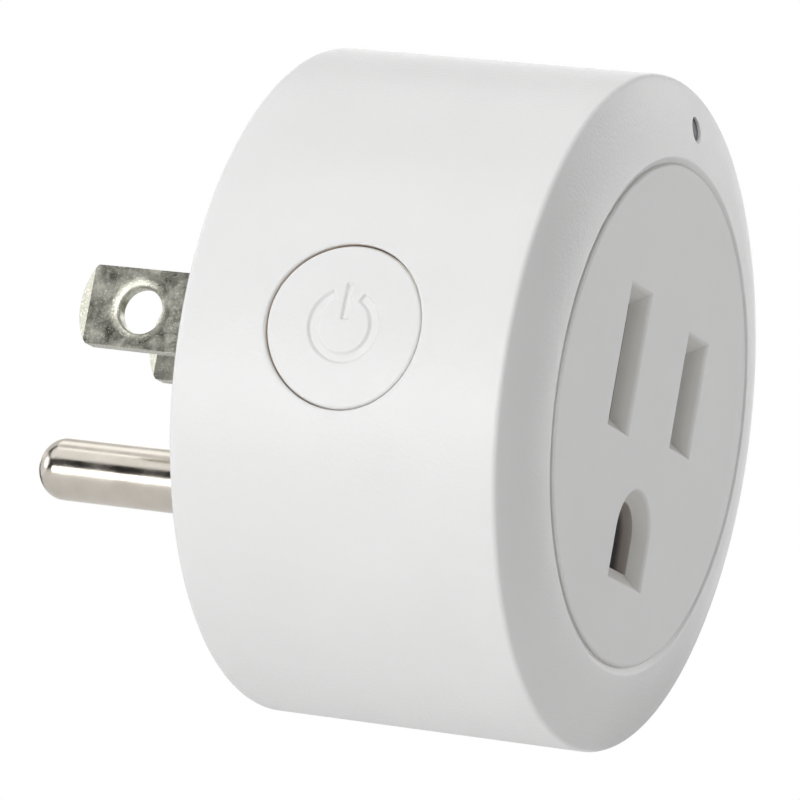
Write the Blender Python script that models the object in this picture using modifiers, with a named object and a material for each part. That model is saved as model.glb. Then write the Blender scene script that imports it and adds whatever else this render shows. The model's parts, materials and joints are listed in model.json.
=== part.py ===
"""Round Wi-Fi smart plug with a NEMA 5-15P plug behind and a NEMA 5-15R outlet in front.

World frame: +Z is up, the outlet faces -Y, the blades point along +Y and the origin is the centre
of the rear face, which lies against the wall.  Everything is modelled in the plug's own frame and
parented to one empty that turns it: x is right (seen from the front), y is up and z is the
distance from the wall towards the outlet face.
"""

import math

import bmesh
import bpy
from mathutils import Matrix, Vector

MM = 0.001

# Housing
BODY_RADIUS = 25.0 * MM
RING_TOP = 27.2 * MM
RING_EDGE_RADIUS = 0.5 * MM
RING_INNER_FILLET = 0.35 * MM
RING_SLOPE_INNER = math.radians(6.0)
RING_SLOPE_OUTER = math.radians(26.0)
REAR_EDGE_RADIUS = 0.5 * MM
WALL = 1.8 * MM
RING_THICKNESS = 2.2 * MM
HAUNCH_WIDTH = 1.7 * MM
HAUNCH_DEPTH = 1.2 * MM
SEAT_RADIUS = 23.6 * MM
CLEARANCE = 0.3 * MM
ROUND_STEPS = 64
OVERSHOOT = 5.0 * MM

# Outlet insert
INSERT_RADIUS = 18.7 * MM
INSERT_FACE = 27.2 * MM
INSERT_THICKNESS = 2.6 * MM
INSERT_EDGE = 0.25 * MM
FLANGE_RADIUS = 20.4 * MM
FLANGE_THICKNESS = 1.5 * MM
FLANGE_WIDTH = 2.5 * MM

# Socket block behind the insert
BLOCK_HALF_WIDTH = 10.4 * MM
BLOCK_TOP = 9.4 * MM
BLOCK_BOTTOM = -14.2 * MM
BLOCK_BACK = 8.2 * MM
CHAMBER_HALF_WIDTH = 2.6 * MM
CHAMBER_HALF_HEIGHT = 5.1 * MM
GROUND_CHAMBER = ((-3.5 * MM, -12.8 * MM), (3.5 * MM, -5.3 * MM))

# Outlet and plug pattern (NEMA 5-15)
BLADE_X = 6.35 * MM
BLADE_Y = 2.9 * MM
BLADE_ROW_Y = 2.75 * MM
GROUND_Y = BLADE_Y - 11.89 * MM
SLOT_WIDTH = 2.3 * MM
NEUTRAL_SLOT_HEIGHT = 8.55 * MM
HOT_SLOT_HEIGHT = 6.75 * MM
GROUND_HALF_WIDTH = 2.5 * MM
GROUND_DROP = 2.65 * MM
FUNNEL_SPREAD = 1.05 * MM
FUNNEL_DEPTH = 1.3 * MM

# Blades and ground pin
BLADE_WIDTH = 6.3 * MM
BLADE_THICKNESS = 1.5 * MM
BLADE_LENGTH = 17.5 * MM
BLADE_TIP_RADIUS = 4.5 * MM
BLADE_HOLE_RADIUS = 1.8 * MM
BLADE_HOLE_FROM_TIP = 5.2 * MM
BLADE_TIP_CHAMFER = 0.45 * MM
BLADE_TIP_SLOPE = math.radians(28.0)
BLADE_SHOULDER = 4.2 * MM
BLADE_TAIL_END = 6.3 * MM
BLADE_TAIL = (-1.9 * MM, 0.4 * MM)
PIN_RADIUS = 2.4 * MM
PIN_LENGTH = 21.55 * MM
PIN_ROOT = 3.3 * MM

# Rear cover
COVER_THICKNESS = 2.4 * MM
COLLAR_ROOT = 1.0 * MM
COLLAR_TOP = 4.2 * MM
COLLAR_WALL = 1.35 * MM
PIN_COLLAR_RADIUS = 4.2 * MM
PIN_COLLAR_TOP = 3.2 * MM

# Boards
BOARD_BACK = 4.9 * MM
BOARD_THICKNESS = 1.6 * MM
BOARD_FRONT = BOARD_BACK + BOARD_THICKNESS
BOARD_RADIUS = 22.9 * MM
SEAT = BOARD_FRONT + CLEARANCE
CARRIER_THICKNESS = 1.1 * MM
PASSAGE_BACK = 2.0 * MM
PASSAGE_FRONT = 10.0 * MM

# Power button and its switch
BUTTON_Y = -0.2 * MM
BUTTON_Z = 12.75 * MM
BUTTON_HOLE_RADIUS = 6.0 * MM
BUTTON_RADIUS = 5.65 * MM
BUTTON_FACE_RADIUS = 24.95 * MM
BUTTON_FLANGE_RADIUS = 6.6 * MM
PLUNGER_RADIUS = 1.7 * MM
SWITCH_SIZE = 6.0 * MM
SWITCH_DEPTH = 3.5 * MM
SWITCH_BOARD_X = -15.5 * MM
PLUNGER_TIP_X = -20.3 * MM

# Status light
LIGHT_Y = 21.75 * MM
LIGHT_HOLE_RADIUS = 0.9 * MM

# Fasteners
COVER_SCREW_OFFSET = 14.0 * MM
BOSS_RADIUS = 2.3 * MM
BOSS_TOP = 16.0 * MM
PILOT_RADIUS = 1.5 * MM
PILOT_END = 12.7 * MM
RIB_HALF_WIDTH = 0.8 * MM
RIB_SPAN = (18.5 * MM, 24.0 * MM)
RIB_STEP = 0.5 * MM
BOARD_PILOT_RADIUS = 1.2 * MM
BOARD_PILOT_END = 15.0 * MM
BOARD_SCREWS = ((0.0, 6.6 * MM), (-7.5 * MM, -9.5 * MM), (7.5 * MM, -9.5 * MM))

# Relay
RELAY_X = 15.8 * MM
RELAY_HALF_WIDTH = 4.5 * MM
RELAY_HALF_LENGTH = 9.0 * MM
RELAY_HEIGHT = 15.0 * MM
RELAY_PIVOT_Y = 1.7 * MM
RELAY_PIVOT_Z = 19.1 * MM

COLORS = {
    "white_abs": ((0.80, 0.80, 0.79), 0.35, 0.0),
    "nickel": ((0.62, 0.60, 0.55), 0.28, 1.0),
    "brass": ((0.78, 0.57, 0.28), 0.30, 1.0),
    "copper": ((0.72, 0.34, 0.18), 0.35, 1.0),
    "steel": ((0.55, 0.55, 0.56), 0.35, 1.0),
    "tin": ((0.72, 0.72, 0.73), 0.30, 1.0),
    "circuit_board": ((0.04, 0.22, 0.10), 0.45, 0.0),
    "black_plastic": ((0.03, 0.03, 0.03), 0.50, 0.0),
    "blue_plastic": ((0.05, 0.16, 0.45), 0.45, 0.0),
    "yellow_plastic": ((0.80, 0.60, 0.10), 0.45, 0.0),
    "clear_plastic": ((0.60, 0.62, 0.64), 0.15, 0.0),
    "ceramic": ((0.70, 0.66, 0.58), 0.60, 0.0),
    "sleeve": ((0.05, 0.05, 0.12), 0.40, 0.0),
}


def clear_scene():
    for obj in list(bpy.data.objects):
        bpy.data.objects.remove(obj, do_unlink=True)


def make_collection(name):
    collection = bpy.data.collections.new(name)
    bpy.context.scene.collection.children.link(collection)
    return collection


clear_scene()
PARTS = make_collection("smart_plug")
CUTTERS = make_collection("cutters")

PLUG_FRAME = bpy.data.objects.new("plug_frame", None)
PLUG_FRAME.rotation_euler = (math.radians(90.0), 0.0, 0.0)
PARTS.objects.link(PLUG_FRAME)


def make_material(name):
    color, roughness, metallic = COLORS[name]
    material = bpy.data.materials.new(name)
    material.use_nodes = True
    shader = material.node_tree.nodes["Principled BSDF"]
    shader.inputs["Base Color"].default_value = (*color, 1.0)
    shader.inputs["Roughness"].default_value = roughness
    shader.inputs["Metallic"].default_value = metallic
    material.diffuse_color = (*color, 1.0)
    return material


MATERIALS = {name: make_material(name) for name in COLORS}


# ---------------------------------------------------------------- building blocks


def add_object(name, mesh, material=None, location=(0.0, 0.0, 0.0), rotation=(0.0, 0.0, 0.0)):
    """A part in the plug's frame, or a cutter when no material is given."""
    obj = bpy.data.objects.new(name, mesh)
    obj.parent = PLUG_FRAME
    obj.location = location
    obj.rotation_euler = rotation
    if material is None:
        obj.hide_render = True
        obj.display_type = "WIRE"
        CUTTERS.objects.link(obj)
    else:
        obj.data.materials.append(MATERIALS[material])
        PARTS.objects.link(obj)
    return obj


def shade_round(mesh):
    mesh.shade_smooth()
    mesh.set_sharp_from_angle(angle=math.radians(35.0))


def finish_mesh(name, bm):
    bmesh.ops.recalc_face_normals(bm, faces=bm.faces)
    mesh = bpy.data.meshes.new(name)
    bm.to_mesh(mesh)
    bm.free()
    shade_round(mesh)
    return mesh


def box(name, low, high, material=None, origin=(0.0, 0.0, 0.0)):
    """A box between two corners; its origin stays where origin says."""
    size = Vector(high) - Vector(low)
    centre = (Vector(high) + Vector(low)) / 2 - Vector(origin)
    bm = bmesh.new()
    placed = Matrix.Translation(centre) @ Matrix.Diagonal((*size, 1.0))
    bmesh.ops.create_cube(bm, size=1.0, matrix=placed)
    return add_object(name, finish_mesh(name, bm), material, origin)


def rod(name, radius, start, end, material=None, steps=24, origin=(0.0, 0.0, 0.0)):
    """A cylinder from start to end, in any direction."""
    start = Vector(start)
    end = Vector(end)
    along = end - start
    turn = Vector((0.0, 0.0, 1.0)).rotation_difference(along.normalized()).to_matrix().to_4x4()
    placed = Matrix.Translation((start + end) / 2 - Vector(origin)) @ turn
    bm = bmesh.new()
    bmesh.ops.create_cone(
        bm,
        cap_ends=True,
        segments=steps,
        radius1=radius,
        radius2=radius,
        depth=along.length,
        matrix=placed,
    )
    return add_object(name, finish_mesh(name, bm), material, origin)


def turned(name, profile, material=None, closed=False, location=(0.0, 0.0, 0.0), steps=24):
    """A profile of (radius, z) points, outer side first from front to back, turned round z."""
    bm = bmesh.new()
    points = [bm.verts.new((radius, 0.0, z)) for radius, z in profile]
    for first, second in zip(points, points[1:]):
        bm.edges.new((first, second))
    if closed:
        bm.edges.new((points[-1], points[0]))
    mesh = bpy.data.meshes.new(name)
    bm.to_mesh(mesh)
    bm.free()
    obj = add_object(name, mesh, material, location)
    screw = obj.modifiers.new("turn", "SCREW")
    screw.angle = math.tau
    screw.steps = steps
    screw.render_steps = steps
    screw.use_merge_vertices = True
    screw.merge_threshold = 0.00001
    screw.use_smooth_shade = True
    return obj


def sheet_strip(name, path, width_axis, span, thickness, material=None):
    """A bent metal strip: path is a list of points and the strip is span wide along width_axis."""
    bm = bmesh.new()
    points = [bm.verts.new(point) for point in path]
    edges = [bm.edges.new(pair) for pair in zip(points, points[1:])]
    swept = bmesh.ops.extrude_edge_only(bm, edges=edges)
    moved = [item for item in swept["geom"] if isinstance(item, bmesh.types.BMVert)]
    bmesh.ops.translate(bm, verts=moved, vec=Vector(width_axis) * span)
    obj = add_object(name, finish_mesh(name, bm), material)
    solidify = obj.modifiers.new("thickness", "SOLIDIFY")
    solidify.thickness = thickness
    solidify.offset = 0.0
    solidify.use_even_offset = True
    return obj


def tapered_outline(name, back, front, z_back, z_front, material=None):
    """A closed loft between two outlines with the same number of points."""
    bm = bmesh.new()
    base = bm.faces.new([bm.verts.new((x, y, z_back)) for x, y in back])
    raised = bmesh.ops.extrude_face_region(bm, geom=[base])
    moved = [item for item in raised["geom"] if isinstance(item, bmesh.types.BMVert)]
    targets = {(round(x, 7), round(y, 7)): goal for (x, y), goal in zip(back, front)}
    for vertex in moved:
        x, y = targets[(round(vertex.co.x, 7), round(vertex.co.y, 7))]
        vertex.co = Vector((x, y, z_front))
    return add_object(name, finish_mesh(name, bm), material)


def boolean(target, other, operation):
    modifier = target.modifiers.new(other.name, "BOOLEAN")
    modifier.operation = operation
    modifier.object = other
    modifier.solver = "EXACT"


def cut(target, *cutters):
    for cutter in cutters:
        boolean(target, cutter, "DIFFERENCE")


def join(target, *pieces):
    for piece in pieces:
        boolean(target, piece, "UNION")


def round_edges(obj, width, segments=2):
    bevel = obj.modifiers.new("rounded_edges", "BEVEL")
    bevel.width = width
    bevel.segments = segments
    bevel.limit_method = "ANGLE"
    bevel.angle_limit = math.radians(40.0)


def slot_outline(half_width, half_height, centre_x):
    return [
        (centre_x - half_width, BLADE_Y - half_height),
        (centre_x + half_width, BLADE_Y - half_height),
        (centre_x + half_width, BLADE_Y + half_height),
        (centre_x - half_width, BLADE_Y + half_height),
    ]


def arch_outline(half_width, drop, steps=14):
    """A round-topped opening with a flat bottom, for the ground pin."""
    arch = [
        (half_width * math.cos(math.pi * i / steps), GROUND_Y + half_width * math.sin(math.pi * i / steps))
        for i in range(steps + 1)
    ]
    return [(half_width, GROUND_Y - drop)] + arch + [(-half_width, GROUND_Y - drop)]


# ---------------------------------------------------------------- housing


def arc_points(centre, radius, start, end, steps):
    """Points of an arc in the (radius, z) plane, with angles from +radius towards +z."""
    angles = [start + (end - start) * i / steps for i in range(steps + 1)]
    return [(centre[0] + radius * math.cos(a), centre[1] + radius * math.sin(a)) for a in angles]


def ring_profile():
    """The crowned front ring: an inner fillet, one shallow arc and a rounded outer edge."""
    inner = INSERT_RADIUS + CLEARANCE
    start_angle = math.pi / 2 - RING_SLOPE_INNER
    end_angle = math.pi / 2 - RING_SLOPE_OUTER
    fillet_centre = (inner + RING_INNER_FILLET, RING_TOP - RING_INNER_FILLET)
    fillet = arc_points(fillet_centre, RING_INNER_FILLET, math.pi, math.pi / 2 + RING_SLOPE_INNER, 2)
    crown_start = (
        fillet_centre[0] + RING_INNER_FILLET * math.cos(start_angle),
        fillet_centre[1] + RING_INNER_FILLET * math.sin(start_angle),
    )
    edge_centre_r = BODY_RADIUS - RING_EDGE_RADIUS
    crown_end_r = edge_centre_r + RING_EDGE_RADIUS * math.cos(end_angle)
    crown_radius = (crown_end_r - crown_start[0]) / (math.cos(end_angle) - math.cos(start_angle))
    crown_centre = (
        crown_start[0] - crown_radius * math.cos(start_angle),
        crown_start[1] - crown_radius * math.sin(start_angle),
    )
    crown = arc_points(crown_centre, crown_radius, start_angle, end_angle, 5)
    edge_centre = (edge_centre_r, crown[-1][1] - RING_EDGE_RADIUS * math.sin(end_angle))
    edge = arc_points(edge_centre, RING_EDGE_RADIUS, end_angle, 0.0, 3)
    return fillet + crown + edge[1:]


def boss_rib(name, side, half_width, back, front):
    """A radial bar through a cover-screw boss, out into the side wall."""
    inner, outer = RIB_SPAN
    rib = box(name, (inner, -half_width, back), (outer, half_width, front))
    rib.rotation_euler = (0.0, 0.0, math.radians(45.0 if side > 0 else 225.0))
    return rib


def make_front_housing():
    inner = BODY_RADIUS - WALL
    underside = RING_TOP - RING_THICKNESS
    step = COVER_THICKNESS + CLEARANCE
    rear_centre = (BODY_RADIUS - REAR_EDGE_RADIUS, REAR_EDGE_RADIUS)
    profile = ring_profile()
    profile += arc_points(rear_centre, REAR_EDGE_RADIUS, 0.0, -math.pi / 2, 3)
    profile += [
        (SEAT_RADIUS, 0.0),
        (SEAT_RADIUS, step),
        (inner, step),
        (inner, underside - HAUNCH_DEPTH),
        (inner - HAUNCH_WIDTH, underside),
        (INSERT_RADIUS + CLEARANCE, underside),
    ]
    housing = turned("front_housing", profile, "white_abs", closed=True, steps=ROUND_STEPS)
    for side in (1, -1):
        place = side * COVER_SCREW_OFFSET
        boss = rod(f"boss_{side}", BOSS_RADIUS, (place, place, step), (place, place, BOSS_TOP))
        rib = boss_rib(f"rib_{side}", side, RIB_HALF_WIDTH, step, BOSS_TOP - RIB_STEP)
        join(housing, boss, rib)
    for side in (1, -1):
        place = side * COVER_SCREW_OFFSET
        pilot = rod(f"pilot_{side}", PILOT_RADIUS, (place, place, 0.0), (place, place, PILOT_END))
        cut(housing, pilot)
    button_hole = rod(
        "button_hole",
        BUTTON_HOLE_RADIUS,
        (-BODY_RADIUS - OVERSHOOT, BUTTON_Y, BUTTON_Z),
        (-BODY_RADIUS + 2 * OVERSHOOT, BUTTON_Y, BUTTON_Z),
        steps=40,
    )
    light_hole = rod(
        "light_hole",
        LIGHT_HOLE_RADIUS,
        (0.0, LIGHT_Y, RING_TOP - OVERSHOOT),
        (0.0, LIGHT_Y, RING_TOP + OVERSHOOT),
        steps=16,
    )
    cut(housing, button_hole, light_hole)


def make_rear_cover():
    """The round cover with collars round the blades and the pin, and two screw recesses."""
    radius = SEAT_RADIUS - CLEARANCE
    front = COLLAR_TOP + OVERSHOOT
    half_thickness = BLADE_THICKNESS / 2 + CLEARANCE
    half_width = BLADE_WIDTH / 2 + CLEARANCE
    cover = rod(
        "rear_cover", radius, (0.0, 0.0, 0.0), (0.0, 0.0, COVER_THICKNESS), "white_abs", steps=ROUND_STEPS
    )
    for side in (-1, 1):
        x = side * BLADE_X
        collar = box(
            f"blade_collar_{side}",
            (x - half_thickness - COLLAR_WALL, BLADE_ROW_Y - half_width - COLLAR_WALL, COLLAR_ROOT),
            (x + half_thickness + COLLAR_WALL, BLADE_ROW_Y + half_width + COLLAR_WALL, COLLAR_TOP),
        )
        join(cover, collar)
    pin_collar = rod(
        "pin_collar",
        PIN_COLLAR_RADIUS,
        (0.0, GROUND_Y, COLLAR_ROOT),
        (0.0, GROUND_Y, PIN_COLLAR_TOP),
    )
    join(cover, pin_collar)
    for side in (-1, 1):
        x = side * BLADE_X
        passage = box(
            f"blade_passage_{side}",
            (x - half_thickness, BLADE_ROW_Y - half_width, -OVERSHOOT),
            (x + half_thickness, BLADE_ROW_Y + half_width, front),
        )
        cut(cover, passage)
    pin_passage = rod(
        "pin_passage",
        PIN_RADIUS + CLEARANCE,
        (0.0, GROUND_Y, -OVERSHOOT),
        (0.0, GROUND_Y, front),
        steps=32,
    )
    cut(cover, pin_passage)
    recess_radius = 2.6 * MM
    recess_depth = 1.5 * MM
    for side in (1, -1):
        place = side * COVER_SCREW_OFFSET
        recess = rod(
            f"screw_recess_{side}", recess_radius, (place, place, -OVERSHOOT), (place, place, recess_depth)
        )
        passage = rod(
            f"screw_passage_{side}", PILOT_RADIUS, (place, place, -OVERSHOOT), (place, place, front)
        )
        cut(cover, recess, passage)


# ---------------------------------------------------------------- outlet


def make_outlet_insert():
    """The round face plate, with a flange that is trapped behind the housing's ring."""
    back = INSERT_FACE - INSERT_THICKNESS
    flange_front = RING_TOP - RING_THICKNESS - CLEARANCE
    flange_back = flange_front - FLANGE_THICKNESS
    profile = [
        (0.0, INSERT_FACE),
        (INSERT_RADIUS - INSERT_EDGE, INSERT_FACE),
        (INSERT_RADIUS, INSERT_FACE - INSERT_EDGE),
        (INSERT_RADIUS, flange_front),
        (FLANGE_RADIUS, flange_front),
        (FLANGE_RADIUS, flange_back),
        (FLANGE_RADIUS - FLANGE_WIDTH, flange_back),
        (FLANGE_RADIUS - FLANGE_WIDTH, back),
        (0.0, back),
    ]
    insert = turned("outlet_insert", profile, "white_abs", steps=ROUND_STEPS)
    cut_openings(insert)


def make_socket_block():
    """A block behind the face plate, with an open chamber round each spring contact."""
    front = INSERT_FACE - INSERT_THICKNESS - CLEARANCE
    block = box(
        "socket_block",
        (-BLOCK_HALF_WIDTH, BLOCK_BOTTOM, BLOCK_BACK),
        (BLOCK_HALF_WIDTH, BLOCK_TOP, front),
        "black_plastic",
    )
    for side in (-1, 1):
        chamber = box(
            f"blade_chamber_{side}",
            (side * BLADE_X - CHAMBER_HALF_WIDTH, BLADE_Y - CHAMBER_HALF_HEIGHT, BLOCK_BACK - OVERSHOOT),
            (side * BLADE_X + CHAMBER_HALF_WIDTH, BLADE_Y + CHAMBER_HALF_HEIGHT, front + OVERSHOOT),
        )
        cut(block, chamber)
    low, high = GROUND_CHAMBER
    cut(block, box("ground_chamber", (*low, BLOCK_BACK - OVERSHOOT), (*high, front + OVERSHOOT)))
    for index, (x, y) in enumerate(BOARD_SCREWS, start=1):
        pilot = rod(
            f"block_pilot_{index}",
            BOARD_PILOT_RADIUS,
            (x, y, BLOCK_BACK - OVERSHOOT),
            (x, y, BOARD_PILOT_END),
            steps=16,
        )
        cut(block, pilot)


def cut_openings(insert):
    """Three openings, each a straight passage behind a funnel-shaped lead-in."""
    funnel_back = INSERT_FACE - FUNNEL_DEPTH
    funnel_front = INSERT_FACE + FUNNEL_DEPTH
    passage_back = INSERT_FACE - INSERT_THICKNESS - OVERSHOOT
    spread = 2 * FUNNEL_SPREAD
    for name, side, height in (
        ("neutral", -1, NEUTRAL_SLOT_HEIGHT),
        ("hot", 1, HOT_SLOT_HEIGHT),
    ):
        inside = slot_outline(SLOT_WIDTH / 2, height / 2, side * BLADE_X)
        outside = slot_outline(SLOT_WIDTH / 2 + spread, height / 2 + spread, side * BLADE_X)
        cut(
            insert,
            tapered_outline(f"{name}_funnel", inside, outside, funnel_back, funnel_front),
            tapered_outline(f"{name}_passage", inside, inside, passage_back, funnel_front),
        )
    inside = arch_outline(GROUND_HALF_WIDTH, GROUND_DROP)
    outside = arch_outline(GROUND_HALF_WIDTH + spread, GROUND_DROP + spread)
    cut(
        insert,
        tapered_outline("ground_funnel", inside, outside, funnel_back, funnel_front),
        tapered_outline("ground_passage", inside, inside, passage_back, funnel_front),
    )


def make_blade_contact(name, side):
    """A U of spring brass: two leaves pinch the blade and flare into a lead-in."""
    half_span = 3.0 * MM
    thickness = 0.4 * MM
    tail_half = 0.3 * MM
    tail_y = 5.0 * MM
    leaf = [(1.9, 23.7), (0.8, 21.5), (1.7, 18.0), (1.7, 9.0), (1.2, 8.5)]
    outline = [(-x, z) for x, z in leaf] + [(x, z) for x, z in reversed(leaf)]
    centre = side * BLADE_X
    path = [(centre + x * MM, BLADE_Y - half_span, z * MM) for x, z in outline]
    contact = sheet_strip(name, path, (0.0, 1.0, 0.0), 2 * half_span, thickness, "brass")
    tail = box(
        f"{name}_tail",
        (centre - tail_half, tail_y, BOARD_BACK + CLEARANCE),
        (centre + tail_half, BLADE_Y + half_span - thickness, leaf[-1][1] * MM + thickness / 4),
    )
    join(contact, tail)


def make_ground_contact():
    """An open channel round the ground pin, with a strap that runs back to the pin's root."""
    wall = [(2.75, -6.4), (2.75, -11.7), (2.3, -12.15)]
    outline = [(-x, y) for x, y in wall] + [(x, y) for x, y in reversed(wall)]
    channel_back = 10.0 * MM
    channel_length = 12.5 * MM
    path = [(x * MM, y * MM, channel_back) for x, y in outline]
    contact = sheet_strip("ground_contact", path, (0.0, 0.0, 1.0), channel_length, 0.4 * MM, "brass")
    strap_half = 2.0 * MM
    strap_path = [(-12.15, 11.0), (-12.15, 4.0), (-7.0, 4.0)]
    path = [(-strap_half, y * MM, z * MM) for y, z in strap_path]
    strap = sheet_strip("ground_strap", path, (1.0, 0.0, 0.0), 2 * strap_half, 0.6 * MM)
    join(contact, strap)


def make_contact_carrier():
    """A plate that closes the back of the socket block, with openings for the contacts' tails."""
    margin = 0.3 * MM
    carrier = box(
        "contact_carrier",
        (-BLOCK_HALF_WIDTH + margin, BLOCK_BOTTOM + margin, SEAT),
        (BLOCK_HALF_WIDTH - margin, BLOCK_TOP - margin, SEAT + CARRIER_THICKNESS),
        "black_plastic",
    )
    cut(carrier, *back_passages("carrier"))


def back_passages(owner):
    """Cutters for what passes through the carrier and the main board."""
    tail_half_width = 0.7 * MM
    tail_low = 4.6 * MM
    tail_high = 6.0 * MM
    cutters = []
    for side in (-1, 1):
        x = side * BLADE_X
        cutters.append(
            box(
                f"{owner}_tail_passage_{side}",
                (x - tail_half_width, tail_low, PASSAGE_BACK),
                (x + tail_half_width, tail_high, PASSAGE_FRONT),
            )
        )
    low, high = GROUND_CHAMBER
    cutters.append(box(f"{owner}_ground_passage", (*low, PASSAGE_BACK), (*high, PASSAGE_FRONT)))
    for index, (x, y) in enumerate(BOARD_SCREWS, start=1):
        cutters.append(
            rod(
                f"{owner}_screw_passage_{index}",
                BOARD_PILOT_RADIUS,
                (x, y, PASSAGE_BACK),
                (x, y, PASSAGE_FRONT),
                steps=16,
            )
        )
    return cutters


# ---------------------------------------------------------------- plug


def make_blade(name, side):
    """A flat blade with a round hole, a curved tip chamfered on both faces and a solder tail."""
    half = BLADE_WIDTH / 2
    tail_low, tail_high = BLADE_TAIL
    outline = [
        (-half, BLADE_SHOULDER),
        (tail_low, BLADE_SHOULDER),
        (tail_low, BLADE_TAIL_END),
        (tail_high, BLADE_TAIL_END),
        (tail_high, BLADE_SHOULDER),
        (half, BLADE_SHOULDER),
    ]
    tip_centre = -BLADE_LENGTH + BLADE_TIP_RADIUS
    spread = math.asin(half / BLADE_TIP_RADIUS)
    steps = 8
    for i in range(steps + 1):
        angle = spread - 2.0 * spread * i / steps
        y = BLADE_TIP_RADIUS * math.sin(angle)
        outline.append((y, tip_centre - BLADE_TIP_RADIUS * math.cos(angle)))
    bm = bmesh.new()
    face = bm.faces.new([bm.verts.new((-BLADE_THICKNESS / 2, y, z)) for y, z in outline])
    raised = bmesh.ops.extrude_face_region(bm, geom=[face])
    moved = [item for item in raised["geom"] if isinstance(item, bmesh.types.BMVert)]
    bmesh.ops.translate(bm, verts=moved, vec=(BLADE_THICKNESS, 0.0, 0.0))
    x = side * BLADE_X
    blade = add_object(name, finish_mesh(name, bm), "nickel", (x, BLADE_ROW_Y, 0.0))
    hole_z = -BLADE_LENGTH + BLADE_HOLE_FROM_TIP
    hole = rod(
        f"{name}_hole",
        BLADE_HOLE_RADIUS,
        (x - OVERSHOOT, BLADE_ROW_Y, hole_z),
        (x + OVERSHOOT, BLADE_ROW_Y, hole_z),
    )
    cut(blade, hole)
    wedge_size = Vector((1.0 * MM, 5.0 * MM, 1.5 * MM))
    reach = BLADE_THICKNESS / 2 + wedge_size.x - BLADE_TIP_CHAMFER / 2
    for face_side in (-1, 1):
        wedge = box(f"{name}_tip_{face_side}", -wedge_size, wedge_size)
        wedge.location = (x + face_side * reach, BLADE_ROW_Y, -BLADE_LENGTH)
        wedge.rotation_euler = (0.0, face_side * BLADE_TIP_SLOPE, 0.0)
        cut(blade, wedge)


def make_ground_pin():
    steps = 6
    profile = [(0.0, PIN_ROOT), (PIN_RADIUS, PIN_ROOT)]
    for i in range(steps + 1):
        angle = math.pi / 2 * i / steps
        profile.append((PIN_RADIUS * math.cos(angle), -PIN_LENGTH + PIN_RADIUS * (1.0 - math.sin(angle))))
    turned("ground_pin", profile, "nickel", location=(0.0, GROUND_Y, 0.0), steps=32)


# ---------------------------------------------------------------- boards and small parts


def make_main_board():
    """A round board with a flat for the button and notches for the bosses, ribs and blade tails."""
    board = rod(
        "main_board",
        BOARD_RADIUS,
        (0.0, 0.0, BOARD_BACK),
        (0.0, 0.0, BOARD_FRONT),
        "circuit_board",
        steps=ROUND_STEPS,
    )
    cut(board, *back_passages("board"))
    flat_x = -20.2 * MM
    flat_half = 7.5 * MM
    button_flat = box(
        "button_flat", (-BODY_RADIUS, -flat_half, PASSAGE_BACK), (flat_x, flat_half, PASSAGE_FRONT)
    )
    cut(board, button_flat)
    tail_half_width = BLADE_THICKNESS / 2 + CLEARANCE
    tail_low, tail_high = BLADE_TAIL
    for side in (-1, 1):
        place = side * COVER_SCREW_OFFSET
        notch = rod(
            f"boss_notch_{side}",
            BOSS_RADIUS + CLEARANCE,
            (place, place, PASSAGE_BACK),
            (place, place, PASSAGE_FRONT),
        )
        rib_notch = boss_rib(
            f"rib_notch_{side}", side, RIB_HALF_WIDTH + CLEARANCE, PASSAGE_BACK, PASSAGE_FRONT
        )
        x = side * BLADE_X
        blade_tail = box(
            f"blade_tail_passage_{side}",
            (x - tail_half_width, BLADE_ROW_Y + tail_low - CLEARANCE, PASSAGE_BACK),
            (x + tail_half_width, BLADE_ROW_Y + tail_high + CLEARANCE, PASSAGE_FRONT),
        )
        cut(board, notch, rib_notch, blade_tail)


def make_wifi_module():
    """An upright board above the outlet, with a shield can over its chips."""
    board_low = (-8.0 * MM, 10.6 * MM, SEAT)
    board_high = (8.0 * MM, 11.4 * MM, 22.0 * MM)
    can_low = (-6.0 * MM, 11.7 * MM, 9.0 * MM)
    can_high = (6.0 * MM, 13.9 * MM, 19.5 * MM)
    box("wifi_module_board", board_low, board_high, "circuit_board")
    can = box("wifi_shield_can", can_low, can_high, "tin")
    round_edges(can, 0.3 * MM, 1)


def make_electrolytics():
    radius = 3.15 * MM
    top = 18.7 * MM
    edge = 0.3 * MM
    groove = 16.9 * MM
    groove_half = 0.4 * MM
    profile = [
        (0.0, top),
        (radius - edge, top),
        (radius, top - edge),
        (radius, groove + groove_half),
        (radius - edge, groove),
        (radius, groove - groove_half),
        (radius, SEAT + edge),
        (radius - edge, SEAT),
        (0.0, SEAT),
    ]
    spacing = 6.5 * MM
    height = 18.4 * MM
    for index, side in enumerate((-1, 1), start=1):
        place = (side * spacing, height, 0.0)
        turned(f"electrolytic_capacitor_{index}", profile, "sleeve", location=place)


def make_power_parts():
    """Mains filter parts below and to the left of the socket block."""
    film_low = (-6.5 * MM, -20.2 * MM, SEAT)
    film_high = (6.5 * MM, -15.2 * MM, 17.8 * MM)
    film = box("film_capacitor", film_low, film_high, "yellow_plastic")
    round_edges(film, 0.5 * MM)
    left = -12.4 * MM
    varistor_centre = Vector((left, -1.2 * MM, 11.4 * MM))
    half = Vector((1.3 * MM, 0.0, 0.0))
    varistor = rod("varistor", 4.2 * MM, varistor_centre - half, varistor_centre + half, "blue_plastic")
    round_edges(varistor, 0.6 * MM)
    fuse_y = 6.9 * MM
    fuse_top = 15.5 * MM
    fuse = rod("fuse_resistor", 1.4 * MM, (left, fuse_y, SEAT), (left, fuse_y, fuse_top), "ceramic")
    round_edges(fuse, 0.4 * MM)
    make_drum("choke", (-13.0 * MM, 13.3 * MM), 4.0 * MM, 15.8 * MM, "copper")
    make_drum("power_inductor", (14.1 * MM, -13.0 * MM), 3.2 * MM, 14.0 * MM, "sleeve")


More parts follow.
